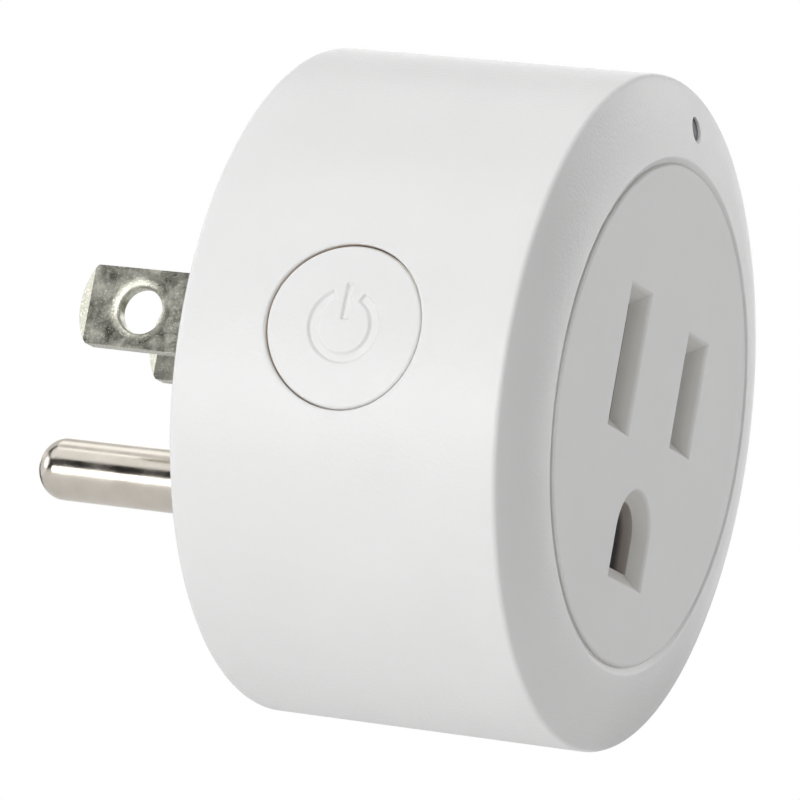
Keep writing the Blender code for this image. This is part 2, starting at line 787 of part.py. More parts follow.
def make_drum(name, place, radius, top, material):
    """A drum core: two flanges with the winding between them."""
    flange = 1.0 * MM
    waist = radius - 0.5 * MM
    profile = [
        (0.0, top),
        (radius, top),
        (radius, top - flange),
        (waist, top - flange),
        (waist, SEAT + flange),
        (radius, SEAT + flange),
        (radius, SEAT),
        (0.0, SEAT),
    ]
    turned(name, profile, material, location=(*place, 0.0))


def make_chips():
    """Flat packages soldered to the back of the main board."""
    top = BOARD_BACK - CLEARANCE
    for name, x, y, half_x, half_y, height in (
        ("bridge_rectifier", -14.5, 3.0, 2.0, 2.5, 1.4),
        ("power_chip", 14.0, -3.0, 2.0, 2.5, 1.4),
        ("voltage_regulator", 0.0, 13.0, 3.2, 1.8, 1.5),
    ):
        chip = box(
            name,
            ((x - half_x) * MM, (y - half_y) * MM, top - height * MM),
            ((x + half_x) * MM, (y + half_y) * MM, top),
            "black_plastic",
        )
        round_edges(chip, 0.15 * MM, 1)


def make_status_light():
    """A domed LED on the board and a light pipe that carries its light to the ring."""
    radius = 1.5 * MM
    dome_centre = (0.0, 9.3 * MM)
    profile = arc_points(dome_centre, radius, math.pi / 2, 0.0, 4)
    profile[0] = (0.0, profile[0][1])
    profile += [(radius, SEAT), (0.0, SEAT)]
    turned("status_led", profile, "clear_plastic", location=(0.0, 21.0 * MM, 0.0), steps=16)
    nose = LIGHT_HOLE_RADIUS - CLEARANCE
    shank = 1.0 * MM
    front = 25.5 * MM
    shoulder = 24.2 * MM
    back = 11.2 * MM
    profile = [
        (0.0, front),
        (nose, front),
        (nose, shoulder),
        (shank, shoulder + nose - shank),
        (shank, back),
        (0.0, back),
    ]
    turned("led_light_pipe", profile, "clear_plastic", location=(0.0, LIGHT_Y, 0.0), steps=16)


# ---------------------------------------------------------------- power button


def make_power_button():
    """A cap whose face follows the side wall, with a retaining flange and a stem behind it."""
    cap_back = -21.5 * MM
    flange_span = (-21.9 * MM, -21.1 * MM)
    stem_end = -20.6 * MM
    stem_radius = 2.0 * MM
    button = rod(
        "power_button",
        BUTTON_RADIUS,
        (-BODY_RADIUS - OVERSHOOT, BUTTON_Y, BUTTON_Z),
        (cap_back, BUTTON_Y, BUTTON_Z),
        "white_abs",
        steps=40,
        origin=(-BODY_RADIUS, BUTTON_Y, BUTTON_Z),
    )
    side_wall = rod("button_face", BUTTON_FACE_RADIUS, (0.0, 0.0, 0.0), (0.0, 0.0, RING_TOP), steps=180)
    boolean(button, side_wall, "INTERSECT")
    flange = rod(
        "button_flange",
        BUTTON_FLANGE_RADIUS,
        (flange_span[0], BUTTON_Y, BUTTON_Z),
        (flange_span[1], BUTTON_Y, BUTTON_Z),
        steps=36,
    )
    stem_ends = ((cap_back, BUTTON_Y, BUTTON_Z), (stem_end, BUTTON_Y, BUTTON_Z))
    stem = rod("button_stem", stem_radius, *stem_ends)
    join(button, flange, stem)


def make_tact_switch():
    """A push switch on its own upright board, behind the power button."""
    half = SWITCH_SIZE / 2
    back = SWITCH_BOARD_X - CLEARANCE
    front = back - SWITCH_DEPTH
    well_depth = 1.6 * MM
    low = (front, BUTTON_Y - half, BUTTON_Z - half)
    high = (back, BUTTON_Y + half, BUTTON_Z + half)
    body = box("tact_switch_body", low, high, "black_plastic")
    well = rod(
        "plunger_well",
        PLUNGER_RADIUS + CLEARANCE,
        (front - OVERSHOOT, BUTTON_Y, BUTTON_Z),
        (front + well_depth, BUTTON_Y, BUTTON_Z),
    )
    cut(body, well)
    rod(
        "tact_switch_plunger",
        PLUNGER_RADIUS,
        (PLUNGER_TIP_X, BUTTON_Y, BUTTON_Z),
        (front + well_depth - 2 * CLEARANCE, BUTTON_Y, BUTTON_Z),
        "black_plastic",
        origin=(PLUNGER_TIP_X, BUTTON_Y, BUTTON_Z),
    )
    board_high = (-14.3 * MM, 7.0 * MM, 20.5 * MM)
    box("button_board", (SWITCH_BOARD_X, -board_high[1], SEAT), board_high, "circuit_board")


# ---------------------------------------------------------------- relay


def make_relay_shell():
    """A closed case over the relay, open behind, where the base fills it."""
    low_x = RELAY_X - RELAY_HALF_WIDTH
    high_x = RELAY_X + RELAY_HALF_WIDTH
    wall = 0.8 * MM
    gap = wall + CLEARANCE
    base_thickness = 1.3 * MM
    box(
        "relay_base",
        (low_x + gap, -RELAY_HALF_LENGTH + gap, SEAT),
        (high_x - gap, RELAY_HALF_LENGTH - gap, SEAT + base_thickness),
        "black_plastic",
    )
    case = box(
        "relay_case",
        (low_x, -RELAY_HALF_LENGTH, SEAT),
        (high_x, RELAY_HALF_LENGTH, SEAT + RELAY_HEIGHT),
        "blue_plastic",
    )
    round_edges(case, 0.4 * MM)
    hollow = box(
        "relay_hollow",
        (low_x + wall, -RELAY_HALF_LENGTH + wall, SEAT - OVERSHOOT),
        (high_x - wall, RELAY_HALF_LENGTH - wall, SEAT + RELAY_HEIGHT - wall),
    )
    cut(case, hollow)


def make_relay_magnet():
    """The coil on its bobbin, the iron core through it and the L-shaped yoke beside it."""
    centre_y = RELAY_PIVOT_Y - 4.2 * MM
    bobbin = 3.2 * MM
    winding = 2.9 * MM
    bore = 1.6 * MM
    cheek = 0.7 * MM
    back = 9.8 * MM
    front = 18.1 * MM
    profile = [
        (bobbin, front),
        (bobbin, front - cheek),
        (winding, front - cheek),
        (winding, back + cheek),
        (bobbin, back + cheek),
        (bobbin, back),
        (bore, back),
        (bore, front),
    ]
    turned("relay_coil", profile, "copper", closed=True, location=(RELAY_X, centre_y, 0.0))
    core_radius = 1.3 * MM
    core_span = (9.7 * MM, 18.5 * MM)
    rod(
        "relay_core",
        core_radius,
        (RELAY_X, centre_y, core_span[0]),
        (RELAY_X, centre_y, core_span[1]),
        "steel",
    )
    half_width = 2.7 * MM
    foot_z = 8.95 * MM
    foot_end = centre_y - 3.4 * MM
    path = [
        (RELAY_X - half_width, foot_end, foot_z),
        (RELAY_X - half_width, RELAY_PIVOT_Y, foot_z),
        (RELAY_X - half_width, RELAY_PIVOT_Y, RELAY_PIVOT_Z - CLEARANCE),
    ]
    sheet_strip("relay_yoke", path, (1.0, 0.0, 0.0), 2 * half_width, 0.8 * MM, "steel")


def make_relay_contacts():
    """The armature rocks on the yoke's edge and swings the moving contact to the fixed one."""
    plate_half = 2.4 * MM
    plate_length = 7.2 * MM
    plate_thickness = 0.8 * MM
    plate_back = RELAY_PIVOT_Z + CLEARANCE
    arm_half = 1.8 * MM
    arm_y = RELAY_PIVOT_Y + 1.3 * MM
    arm_thickness = 0.35 * MM
    arm_end = 12.0 * MM
    contact_z = 13.6 * MM
    contact_radius = 1.2 * MM
    armature = box(
        "relay_armature",
        (RELAY_X - plate_half, RELAY_PIVOT_Y - plate_length, plate_back),
        (RELAY_X + plate_half, arm_y + arm_thickness + 0.05 * MM, plate_back + plate_thickness),
        "steel",
        origin=(RELAY_X, RELAY_PIVOT_Y, RELAY_PIVOT_Z),
    )
    arm = box(
        "armature_arm",
        (RELAY_X - arm_half, arm_y, arm_end),
        (RELAY_X + arm_half, arm_y + arm_thickness, plate_back + plate_thickness / 2),
    )
    moving = rod(
        "moving_contact",
        contact_radius,
        (RELAY_X, arm_y + 0.1 * MM, contact_z),
        (RELAY_X, arm_y + 0.95 * MM, contact_z),
        steps=16,
    )
    join(armature, arm, moving)
    fixed_y = arm_y + 2.3 * MM
    fixed_thickness = 0.5 * MM
    fixed = box(
        "relay_fixed_contact",
        (RELAY_X - arm_half, fixed_y, SEAT + 1.6 * MM),
        (RELAY_X + arm_half, fixed_y + fixed_thickness, 15.2 * MM),
        "brass",
    )
    pad = rod(
        "fixed_pad",
        contact_radius,
        (RELAY_X, fixed_y - fixed_thickness, contact_z),
        (RELAY_X, fixed_y + fixed_thickness / 2, contact_z),
        steps=16,
    )
    join(fixed, pad)


# ---------------------------------------------------------------- screws


def make_screw(name, place, head_back, head_front, head_radius, shaft_radius, tip):
    """A pan-head screw pointing towards the outlet, with a cross recess in its head."""
    x, y = place
    rim = 0.3 * MM
    dome = 0.4 * MM
    profile = [
        (0.0, tip),
        (shaft_radius / 2, tip),
        (shaft_radius, tip - shaft_radius),
        (shaft_radius, head_front),
        (head_radius, head_front),
        (head_radius, head_back + rim),
        (head_radius - dome, head_back),
        (0.0, head_back),
    ]
    screw = turned(name, profile, "steel", location=(x, y, 0.0), steps=20)
    half_length = head_radius * 0.55
    half_width = 0.25 * MM
    depth = 0.7 * MM
    unequal = 0.1 * MM
    across = box(
        f"{name}_recess_across",
        (x - half_length, y - half_width, head_back - OVERSHOOT),
        (x + half_length, y + half_width, head_back + depth),
    )
    upright = box(
        f"{name}_recess_upright",
        (x - half_width, y - half_length, head_back - OVERSHOOT),
        (x + half_width, y + half_length, head_back + depth + unequal),
    )
    cut(screw, across, upright)


def make_screws():
    """Two screws hold the rear cover to the bosses and three hold the board to the socket block."""
    for index, side in enumerate((1, -1), start=1):
        place = (side * COVER_SCREW_OFFSET, side * COVER_SCREW_OFFSET)
        make_screw(f"cover_screw_{index}", place, 0.2 * MM, 1.2 * MM, 2.2 * MM, 1.15 * MM, 11.5 * MM)
    head_front = BOARD_BACK - CLEARANCE
    head_back = head_front - 1.1 * MM
    for index, place in enumerate(BOARD_SCREWS, start=1):
        make_screw(f"board_screw_{index}", place, head_back, head_front, 1.8 * MM, 0.9 * MM, 13.8 * MM)


make_front_housing()
make_rear_cover()
make_outlet_insert()
make_socket_block()
make_blade_contact("neutral_contact", -1)
make_blade_contact("hot_contact", 1)
make_ground_contact()
make_contact_carrier()
make_blade("neutral_blade", -1)
make_blade("hot_blade", 1)
make_ground_pin()
make_main_board()
make_wifi_module()
make_electrolytics()
make_power_parts()
make_chips()
make_status_light()
make_power_button()
make_tact_switch()
make_relay_shell()
make_relay_magnet()
make_relay_contacts()
make_screws()
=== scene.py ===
"""Looks of a round Wi-Fi smart plug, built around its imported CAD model.

World frame: +Z is up, the outlet faces -Y and the blades point along +Y.  Fine meshes are modelled
in the plug's own frame, which PLUG_FRAME turns into the world: x is right (seen from the front),
y is up and z is the distance from the wall towards the outlet face.
"""

import json
import math

import bmesh
import bpy
from mathutils import Matrix, Vector


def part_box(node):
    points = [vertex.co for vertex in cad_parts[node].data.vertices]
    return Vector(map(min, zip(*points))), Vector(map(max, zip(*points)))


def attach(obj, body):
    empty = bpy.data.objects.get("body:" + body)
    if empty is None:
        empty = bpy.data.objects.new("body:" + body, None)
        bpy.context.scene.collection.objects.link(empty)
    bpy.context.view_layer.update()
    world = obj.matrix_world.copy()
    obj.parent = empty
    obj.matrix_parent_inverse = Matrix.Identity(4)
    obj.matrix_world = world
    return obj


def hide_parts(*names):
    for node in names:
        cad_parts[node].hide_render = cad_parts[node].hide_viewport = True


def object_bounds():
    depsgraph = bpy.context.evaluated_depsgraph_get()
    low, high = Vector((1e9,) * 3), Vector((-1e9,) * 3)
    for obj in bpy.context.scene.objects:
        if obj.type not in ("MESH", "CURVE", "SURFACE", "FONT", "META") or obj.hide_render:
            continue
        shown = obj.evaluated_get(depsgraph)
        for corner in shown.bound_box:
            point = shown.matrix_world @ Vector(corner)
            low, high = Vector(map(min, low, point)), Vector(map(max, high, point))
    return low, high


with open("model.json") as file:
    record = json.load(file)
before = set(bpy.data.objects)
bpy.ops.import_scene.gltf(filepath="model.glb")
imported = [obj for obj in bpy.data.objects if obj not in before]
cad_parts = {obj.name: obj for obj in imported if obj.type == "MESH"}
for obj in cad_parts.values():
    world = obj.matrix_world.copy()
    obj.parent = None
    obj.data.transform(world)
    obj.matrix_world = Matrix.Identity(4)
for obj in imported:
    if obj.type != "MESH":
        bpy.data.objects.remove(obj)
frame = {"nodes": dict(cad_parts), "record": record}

CAD_LOW, CAD_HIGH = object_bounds()

MM = 0.001
PLUG_FRAME = Matrix.Rotation(math.radians(90.0), 4, "X")


def plug_box(node):
    """A CAD node's lowest and highest corner in the plug's own frame."""
    low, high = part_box(node)
    return Vector((low.x, low.z, -high.y)), Vector((high.x, high.z, -low.y))


def middle(node):
    """The middle of a CAD node's box, in the plug's own frame."""
    low, high = plug_box(node)
    return (low + high) / 2


# ---------------------------------------------------------------- sizes

BODY_LOW, BODY_HIGH = plug_box("front_housing")
BODY_RADIUS = (BODY_HIGH.x - BODY_LOW.x) / 2
RING_CREST = BODY_HIGH.z - 0.06 * MM
ROUND_STEPS = 360

WALL = 1.8 * MM
RING_THICKNESS = 2.2 * MM
RING_INNER = 18.6 * MM
RING_CREST_RADIUS = 19.15 * MM
RING_INNER_ROUND = 0.4 * MM
RING_INNER_SLOPE = math.radians(24.0)
RING_EDGE_RADIUS = 0.5 * MM
RING_SLOPE_INNER = math.radians(6.0)
RING_SLOPE_OUTER = math.radians(26.0)
# The crown drops from its crest by out * (RING_FALL + RING_CURVE * out), out being the distance from it.
RING_FALL = 0.105
RING_CURVE = 32.0
REAR_EDGE_RADIUS = 0.5 * MM
SEAT_RADIUS = 23.6 * MM
SEAT_DEPTH = 2.7 * MM
EDGE_STEPS = 8
CROWN_STEPS = 14
REAR_EDGE_STEPS = 6
SIDE_STEPS = 26

INSERT_FACE = plug_box("outlet_insert")[1].z
INSERT_RADIUS = 18.5 * MM
INSERT_EDGE = 0.22 * MM
INSERT_STEP_RADIUS = 18.59 * MM
INSERT_STEP_DEPTH = 0.23 * MM
INSERT_THICKNESS = 2.6 * MM

BLADE_X = middle("hot_blade").x
BLADE_Y = middle("hot_blade").y - 0.07 * MM
GROUND_Y = middle("ground_pin").y
SLOT_Y = GROUND_Y + 11.89 * MM
SLOT_WIDTH = 2.3 * MM
NEUTRAL_SLOT_HEIGHT = 8.55 * MM
HOT_SLOT_HEIGHT = 6.75 * MM
GROUND_HALF_WIDTH = 2.45 * MM
GROUND_DROP = 2.6 * MM
FUNNEL_SPREAD = 1.05 * MM
SLOT_TOP_SPREAD = 1.12 * MM
SLOT_TOP_ROLL = 1.08
SLOT_FUNNEL_DEPTH = 1.3 * MM
GROUND_FUNNEL_DEPTH = 1.05 * MM
FUNNEL_STEPS = 12
ARCH_STEPS = 40
BETWEEN_OPENINGS_Y = GROUND_Y + 4.0 * MM

BUTTON_LOW, BUTTON_HIGH = plug_box("power_button")
BUTTON_Y = middle("power_button").y
BUTTON_Z = middle("power_button").z
HOLE_RADIUS = 6.0 * MM
HOLE_EDGE = 0.22 * MM
HOLE_EDGE_START = math.radians(20.0)
HOLE_ABOVE = 1.0 * MM
HOLE_DEPTH = 6.0 * MM
HOLE_EDGE_STEPS = 6
HOLE_STEPS = 160
CAP_RADIUS = 5.87 * MM
CAP_SKIRT_RADIUS = 5.94 * MM
CAP_SKIRT_DEPTH = 0.36 * MM
CAP_Y = BUTTON_Y - 0.03 * MM
CAP_Z = BUTTON_Z + 0.04 * MM
CAP_FACE = 24.95 * MM
CAP_EDGE = 0.2 * MM
CAP_STEPS = 288
CAP_FACE_RINGS = 96
CAP_EDGE_STEPS = 6
FLANGE_RADIUS = (BUTTON_HIGH.z - BUTTON_LOW.z) / 2
FLANGE_FRONT = -21.9 * MM
FLANGE_BACK = -21.1 * MM
STEM_RADIUS = 2.0 * MM
SYMBOL_OUTER = 2.67 * MM
SYMBOL_INNER = 2.01 * MM
SYMBOL_GAP = math.radians(27.0)
SYMBOL_BAR = (0.46 * MM, 3.03 * MM)
SYMBOL_BAR_HALF = 0.24 * MM
SYMBOL_DEPTH = 0.24 * MM
SYMBOL_SOFTNESS = 0.22 * MM

LIGHT_X = middle("led_light_pipe").x
LIGHT_Y = middle("led_light_pipe").y
LIGHT_RADIUS = 0.9 * MM
LIGHT_MOUTH = 0.12 * MM
LIGHT_SURFACE = RING_CREST - 0.35 * MM
LIGHT_HOLE_ABOVE = 2.0 * MM
LIGHT_HOLE_DEPTH = 5.0 * MM
LIGHT_HOLE_STEPS = 48
LIGHT_PIPE_RADIUS = LIGHT_RADIUS - 0.01 * MM
LIGHT_PIPE_RECESS = 0.16 * MM
LIGHT_PIPE_STEPS = 64
# The pipe's rounded end, as shares of its radius and how far the skin has dropped there.
LIGHT_PIPE_END = ((0.5, 0.0), (0.85, 0.01 * MM), (0.97, 0.05 * MM), (1.0, 0.12 * MM), (1.0, 2.0 * MM))

BLADE_LOW, BLADE_HIGH = plug_box("hot_blade")
BLADE_HALF_WIDTH = (BLADE_HIGH.y - BLADE_LOW.y) / 2
BLADE_TAPER = 0.1 * MM
BLADE_HALF_THICKNESS = (BLADE_HIGH.x - BLADE_LOW.x) / 2
BLADE_TIP = BLADE_LOW.z
BLADE_TIP_RADIUS = 4.5 * MM
BLADE_TIP_STEPS = 32
BLADE_BEVEL_DEPTH = 0.42 * MM
BLADE_BEVEL_LENGTH = 0.95 * MM
BLADE_HOLE_RADIUS = 1.75 * MM
BLADE_HOLE_RIM = 0.3 * MM
BLADE_DISH_SLOPE = math.radians(13.0)
BLADE_DISH_DEPTH = 0.14 * MM
BLADE_HOLE_DROP = 0.12 * MM
BLADE_HOLE_FROM_TIP = 5.2 * MM
BLADE_RIM_STEPS = 10
BLADE_HOLE_STEPS = 96
BLADE_EDGE = 0.14 * MM
BLADE_EDGE_ANGLE = math.radians(18.0)
BLADE_EDGE_SEGMENTS = 3
BLADE_ROOT = 3.0 * MM

PIN_LOW, PIN_HIGH = plug_box("ground_pin")
PIN_RADIUS = (PIN_HIGH.x - PIN_LOW.x) / 2
PIN_DOME = 2.1 * MM
PIN_DOME_STEPS = 20
PIN_STEPS = 96

SHARP_ANGLE = math.radians(32.0)
BLADE_SHARP_ANGLE = math.radians(40.0)
PIN_SHARP_ANGLE = math.radians(50.0)


# ---------------------------------------------------------------- mesh tools


def link(name, data):
    """A new object in the scene, from mesh, light or camera data."""
    obj = bpy.data.objects.new(name, data)
    bpy.context.scene.collection.objects.link(obj)
    return obj


def ring(radius, z, steps=ROUND_STEPS, centre=(0.0, 0.0)):
    """A level circle of points, or a single point when the radius is zero."""
    if radius == 0.0:
        return [Vector((centre[0], centre[1], z))]
    points = []
    for i in range(steps):
        angle = math.tau * i / steps
        x = centre[0] + radius * math.cos(angle)
        y = centre[1] + radius * math.sin(angle)
        points.append(Vector((x, y, z)))
    return points


def loft(name, rings, closed=False):
    """A skin over rings of points, capped at both ends unless its last ring joins its first."""
    bm = bmesh.new()
    rows = [[bm.verts.new(point) for point in points] for points in rings]
    pairs = list(zip(rows, rows[1:]))
    if closed:
        pairs.append((rows[-1], rows[0]))
    for first, second in pairs:
        count = max(len(first), len(second))
        for i in range(count):
            corners = [
                first[i % len(first)],
                first[(i + 1) % len(first)],
                second[(i + 1) % len(second)],
                second[i % len(second)],
            ]
            bm.faces.new(list(dict.fromkeys(corners)))
    if not closed:
        for row in (rows[0], rows[-1]):
            if len(row) > 2:
                bm.faces.new(row)
    bmesh.ops.recalc_face_normals(bm, faces=bm.faces)
    mesh = bpy.data.meshes.new(name)
    bm.to_mesh(mesh)
    bm.free()
    return link(name, mesh)


def turned(name, profile, closed=False, steps=ROUND_STEPS, centre=(0.0, 0.0)):
    """A profile of (radius, z) points turned round an axis along z."""
    return loft(name, [ring(radius, z, steps, centre) for radius, z in profile], closed)


def arc(centre, radius, start, end, steps):
    """Points of an arc, with angles from the first axis towards the second."""
    angles = [start + (end - start) * i / steps for i in range(steps + 1)]
    return [(centre[0] + radius * math.cos(a), centre[1] + radius * math.sin(a)) for a in angles]


def keep_shape(obj):
    """Replaces an object's mesh by what its modifiers make of it."""
    bpy.context.view_layer.update()
    graph = bpy.context.evaluated_depsgraph_get()
    mesh = bpy.data.meshes.new_from_object(obj.evaluated_get(graph))
    obj.modifiers.clear()
    obj.data = mesh


def carve(target, *cutters):
    """Subtracts the cutters from the target, and removes them."""
    for cutter in cutters:
        modifier = target.modifiers.new(cutter.name, "BOOLEAN")
        modifier.operation = "DIFFERENCE"
        modifier.solver = "EXACT"
        modifier.object = cutter
    keep_shape(target)
    for cutter in cutters:
        bpy.data.objects.remove(cutter, do_unlink=True)


def round_edges(obj, width, angle, segments):
    """Rounds the edges whose faces turn by more than the angle."""
    bevel = obj.modifiers.new("edges", "BEVEL")
    bevel.width = width
    bevel.segments = segments
    bevel.limit_method = "ANGLE"
    bevel.angle_limit = angle
    bevel.use_clamp_overlap = True
    keep_shape(obj)


def finish_piece(obj, material, replaces, body="plug_body", sharp=SHARP_ANGLE):
    """Shades a piece, gives it its material and puts it in place of a CAD node on its body."""
    obj.data.shade_smooth()
    obj.data.set_sharp_from_angle(angle=sharp)
    weighted = obj.modifiers.new("weighted", "WEIGHTED_NORMAL")
    weighted.keep_sharp = True
    keep_shape(obj)
    obj.data.materials.clear()
    obj.data.materials.append(MATERIALS[material])
    obj.matrix_world = PLUG_FRAME @ obj.matrix_world
    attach(obj, body)
    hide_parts(replaces)


# ---------------------------------------------------------------- materials

NOISE_LOW = 0.3
NOISE_HIGH = 0.7
# Sockets of a Mix node in its colour mode.
MIX_SHARE = 0
MIX_FIRST = 6
MIX_SECOND = 7
MIX_RESULT = 2

BROAD_PATCH = 9.0 * MM
PLASTIC_ROUGHNESS_SPREAD = 0.07
GLINT_SPECULAR = 0.25
GLINT_COAT = 0.42
GLINT_ROUGHNESS = 0.13

CLOUD_LOW = 0.32
CLOUD_HIGH = 0.66
SPECK_LOW = 0.45
SPECK_HIGH = 0.72
METAL_SMOOTHER = 0.06
METAL_ROUGHER = 0.10
METAL_GRAIN = 0.16 * MM
METAL_GRAIN_DEPTH = 0.004 * MM
SPECKLE_DEPTH = 0.02 * MM
SPECKLE_BRIGHTNESS = 1.5
DRAWN_LINE = 0.5 * MM
DRAWN_LINE_DEPTH = 0.0015 * MM


class Nodes:
    """A material's node tree, with short ways to add and join nodes."""

    def __init__(self, name, color, roughness, metallic=0.0):
        self.material = bpy.data.materials.new(name)
        self.material.use_nodes = True
        self.tree = self.material.node_tree
        self.shader = self.tree.nodes["Principled BSDF"]
        self.shader.inputs["Base Color"].default_value = (*color, 1.0)
        self.shader.inputs["Roughness"].default_value = roughness
        self.shader.inputs["Metallic"].default_value = metallic
        self.place = self.tree.nodes.new("ShaderNodeTexCoord").outputs["Object"]

    def noise(self, size, detail=2.0, stretch=(1.0, 1.0, 1.0), roughness=0.5):
        """Noise whose blotches are about size across."""
        mapping = self.tree.nodes.new("ShaderNodeMapping")
        mapping.inputs["Scale"].default_value = stretch
        self.tree.links.new(self.place, mapping.inputs["Vector"])
        texture = self.tree.nodes.new("ShaderNodeTexNoise")
        texture.inputs["Scale"].default_value = 1.0 / size
        texture.inputs["Detail"].default_value = detail
        texture.inputs["Roughness"].default_value = roughness
        self.tree.links.new(mapping.outputs["Vector"], texture.inputs["Vector"])
        return texture.outputs["Fac"]

    def ramp(self, value, stops):
        """A colour ramp; stops are (position, colour)."""
        node = self.tree.nodes.new("ShaderNodeValToRGB")
        elements = node.color_ramp.elements
        while len(elements) < len(stops):
            elements.new(0.5)
        for element, (position, color) in zip(elements, stops):
            element.position = position
            element.color = (*color, 1.0)
        self.tree.links.new(value, node.inputs["Fac"])
        return node.outputs["Color"]

    def spread(self, value, low, high):
        """Maps noise from the range that it mostly fills to a range of numbers."""
        node = self.tree.nodes.new("ShaderNodeMapRange")
        node.inputs["From Min"].default_value = NOISE_LOW
        node.inputs["From Max"].default_value = NOISE_HIGH
        node.inputs["To Min"].default_value = low
        node.inputs["To Max"].default_value = high
        self.tree.links.new(value, node.inputs["Value"])
        return node.outputs["Result"]

    def mixed(self, first, second, share=None, blend="MIX"):
        """One colour output over another, by a number output or in full."""
        node = self.tree.nodes.new("ShaderNodeMix")
        node.data_type = "RGBA"
        node.blend_type = blend
        if share is None:
            node.inputs[MIX_SHARE].default_value = 1.0
        else:
            self.tree.links.new(share, node.inputs[MIX_SHARE])
        self.tree.links.new(first, node.inputs[MIX_FIRST])
        self.tree.links.new(second, node.inputs[MIX_SECOND])
        return node.outputs[MIX_RESULT]

    def bump(self, height, distance, under=None):
        """A normal tilted by a height output, on top of another normal where one is given."""
        node = self.tree.nodes.new("ShaderNodeBump")
        node.inputs["Strength"].default_value = 1.0
        node.inputs["Distance"].default_value = distance
        self.tree.links.new(height, node.inputs["Height"])
        if under is not None:
            self.tree.links.new(under, node.inputs["Normal"])
        return node.outputs["Normal"]

    def math(self, operation, first, second=None):
        """A math node on outputs or plain numbers."""
        node = self.tree.nodes.new("ShaderNodeMath")
        node.operation = operation
        for socket, value in zip(node.inputs, (first, second)):
            if isinstance(value, float):
                socket.default_value = value
            elif value is not None:
                self.tree.links.new(value, socket)
        return node.outputs[0]

    def parts(self):
        """The x, y and z of the place being shaded, in the plug's own frame."""
        node = self.tree.nodes.new("ShaderNodeSeparateXYZ")
        self.tree.links.new(self.place, node.inputs[0])
        return node.outputs["X"], node.outputs["Y"], node.outputs["Z"]

    def use(self, socket, output):
        """Joins an output to a socket of the shader."""
        self.tree.links.new(output, self.shader.inputs[socket])


def shade(color, factor):
    """A colour made lighter or darker by a factor."""
    return tuple(min(1.0, channel * factor) for channel in color)


def moulded_plastic(name, color, roughness, grain, depth, variation=0.02, glints=0.0, painted_cavity_shade=None):
    """Moulded plastic with a spark-eroded grain: grain is its pitch and depth its height.

    Variation is how much lighter and darker its broad patches are.  Glints is the height of the
    grain in a thin glossy skin, which breaks highlights into sparks.  The last argument is a function
    from nodes to a place's depth below the skin, with (depth, tint) stops of painted shade that darken
    and warm the plastic where it lies deep in gaps and openings, in place of the shade and warm bounced
    light there.
    """
    nodes = Nodes(name, color, roughness)
    darker = shade(color, 1.0 - variation)
    lighter = shade(color, 1.0 + variation)
    tint = nodes.ramp(nodes.noise(BROAD_PATCH), [(NOISE_LOW, darker), (NOISE_HIGH, lighter)])
    # Painted shade: the plastic is darkened and warmed the deeper a place lies in gaps and openings.
    if painted_cavity_shade:
        below, stops = painted_cavity_shade
        reach = stops[-1][0]
        share = nodes.math("DIVIDE", below(nodes), reach)
        shadow = nodes.ramp(share, [(at / reach, tone) for at, tone in stops])
        tint = nodes.mixed(tint, shadow, blend="MULTIPLY")
    nodes.use("Base Color", tint)
    fine = nodes.noise(grain, detail=3.0)
    low = roughness - PLASTIC_ROUGHNESS_SPREAD
    high = roughness + PLASTIC_ROUGHNESS_SPREAD
    nodes.use("Roughness", nodes.spread(fine, low, high))
    nodes.use("Normal", nodes.bump(fine, depth))
    if glints:
        nodes.shader.inputs["Specular IOR Level"].default_value = GLINT_SPECULAR
        nodes.shader.inputs["Coat Weight"].default_value = GLINT_COAT
        nodes.shader.inputs["Coat Roughness"].default_value = GLINT_ROUGHNESS
        nodes.use("Coat Normal", nodes.bump(nodes.noise(grain, roughness=0.6), glints))
    return nodes.material


def below_housing(nodes):
    """How far a place lies below the housing's outer skin."""
    x, y, z = nodes.parts()
    squares = nodes.math("ADD", nodes.math("MULTIPLY", x, x), nodes.math("MULTIPLY", y, y))
    across = nodes.math("SQRT", squares)
    below_side = nodes.math("SUBTRACT", BODY_RADIUS, across)
    out = nodes.math("MAXIMUM", nodes.math("SUBTRACT", across, RING_CREST_RADIUS), 0.0)
    slope = nodes.math("ADD", nodes.math("MULTIPLY", out, RING_CURVE), RING_FALL)
    crown = nodes.math("SUBTRACT", RING_CREST, nodes.math("MULTIPLY", out, slope))
    below_ring = nodes.math("SUBTRACT", crown, z)
    return nodes.math("MINIMUM", nodes.math("MINIMUM", below_side, below_ring), z)


def below_insert(nodes):
    """How far a place lies below the outlet's face, stretched so that both funnel depths agree."""
    y, z = nodes.parts()[1:]
    in_ground_opening = nodes.math("LESS_THAN", y, BETWEEN_OPENINGS_Y)
    extra = nodes.math("MULTIPLY", in_ground_opening, SLOT_FUNNEL_DEPTH / GROUND_FUNNEL_DEPTH - 1.0)
    stretch = nodes.math("ADD", extra, 1.0)
    return nodes.math("MULTIPLY", nodes.math("SUBTRACT", INSERT_FACE, z), stretch)


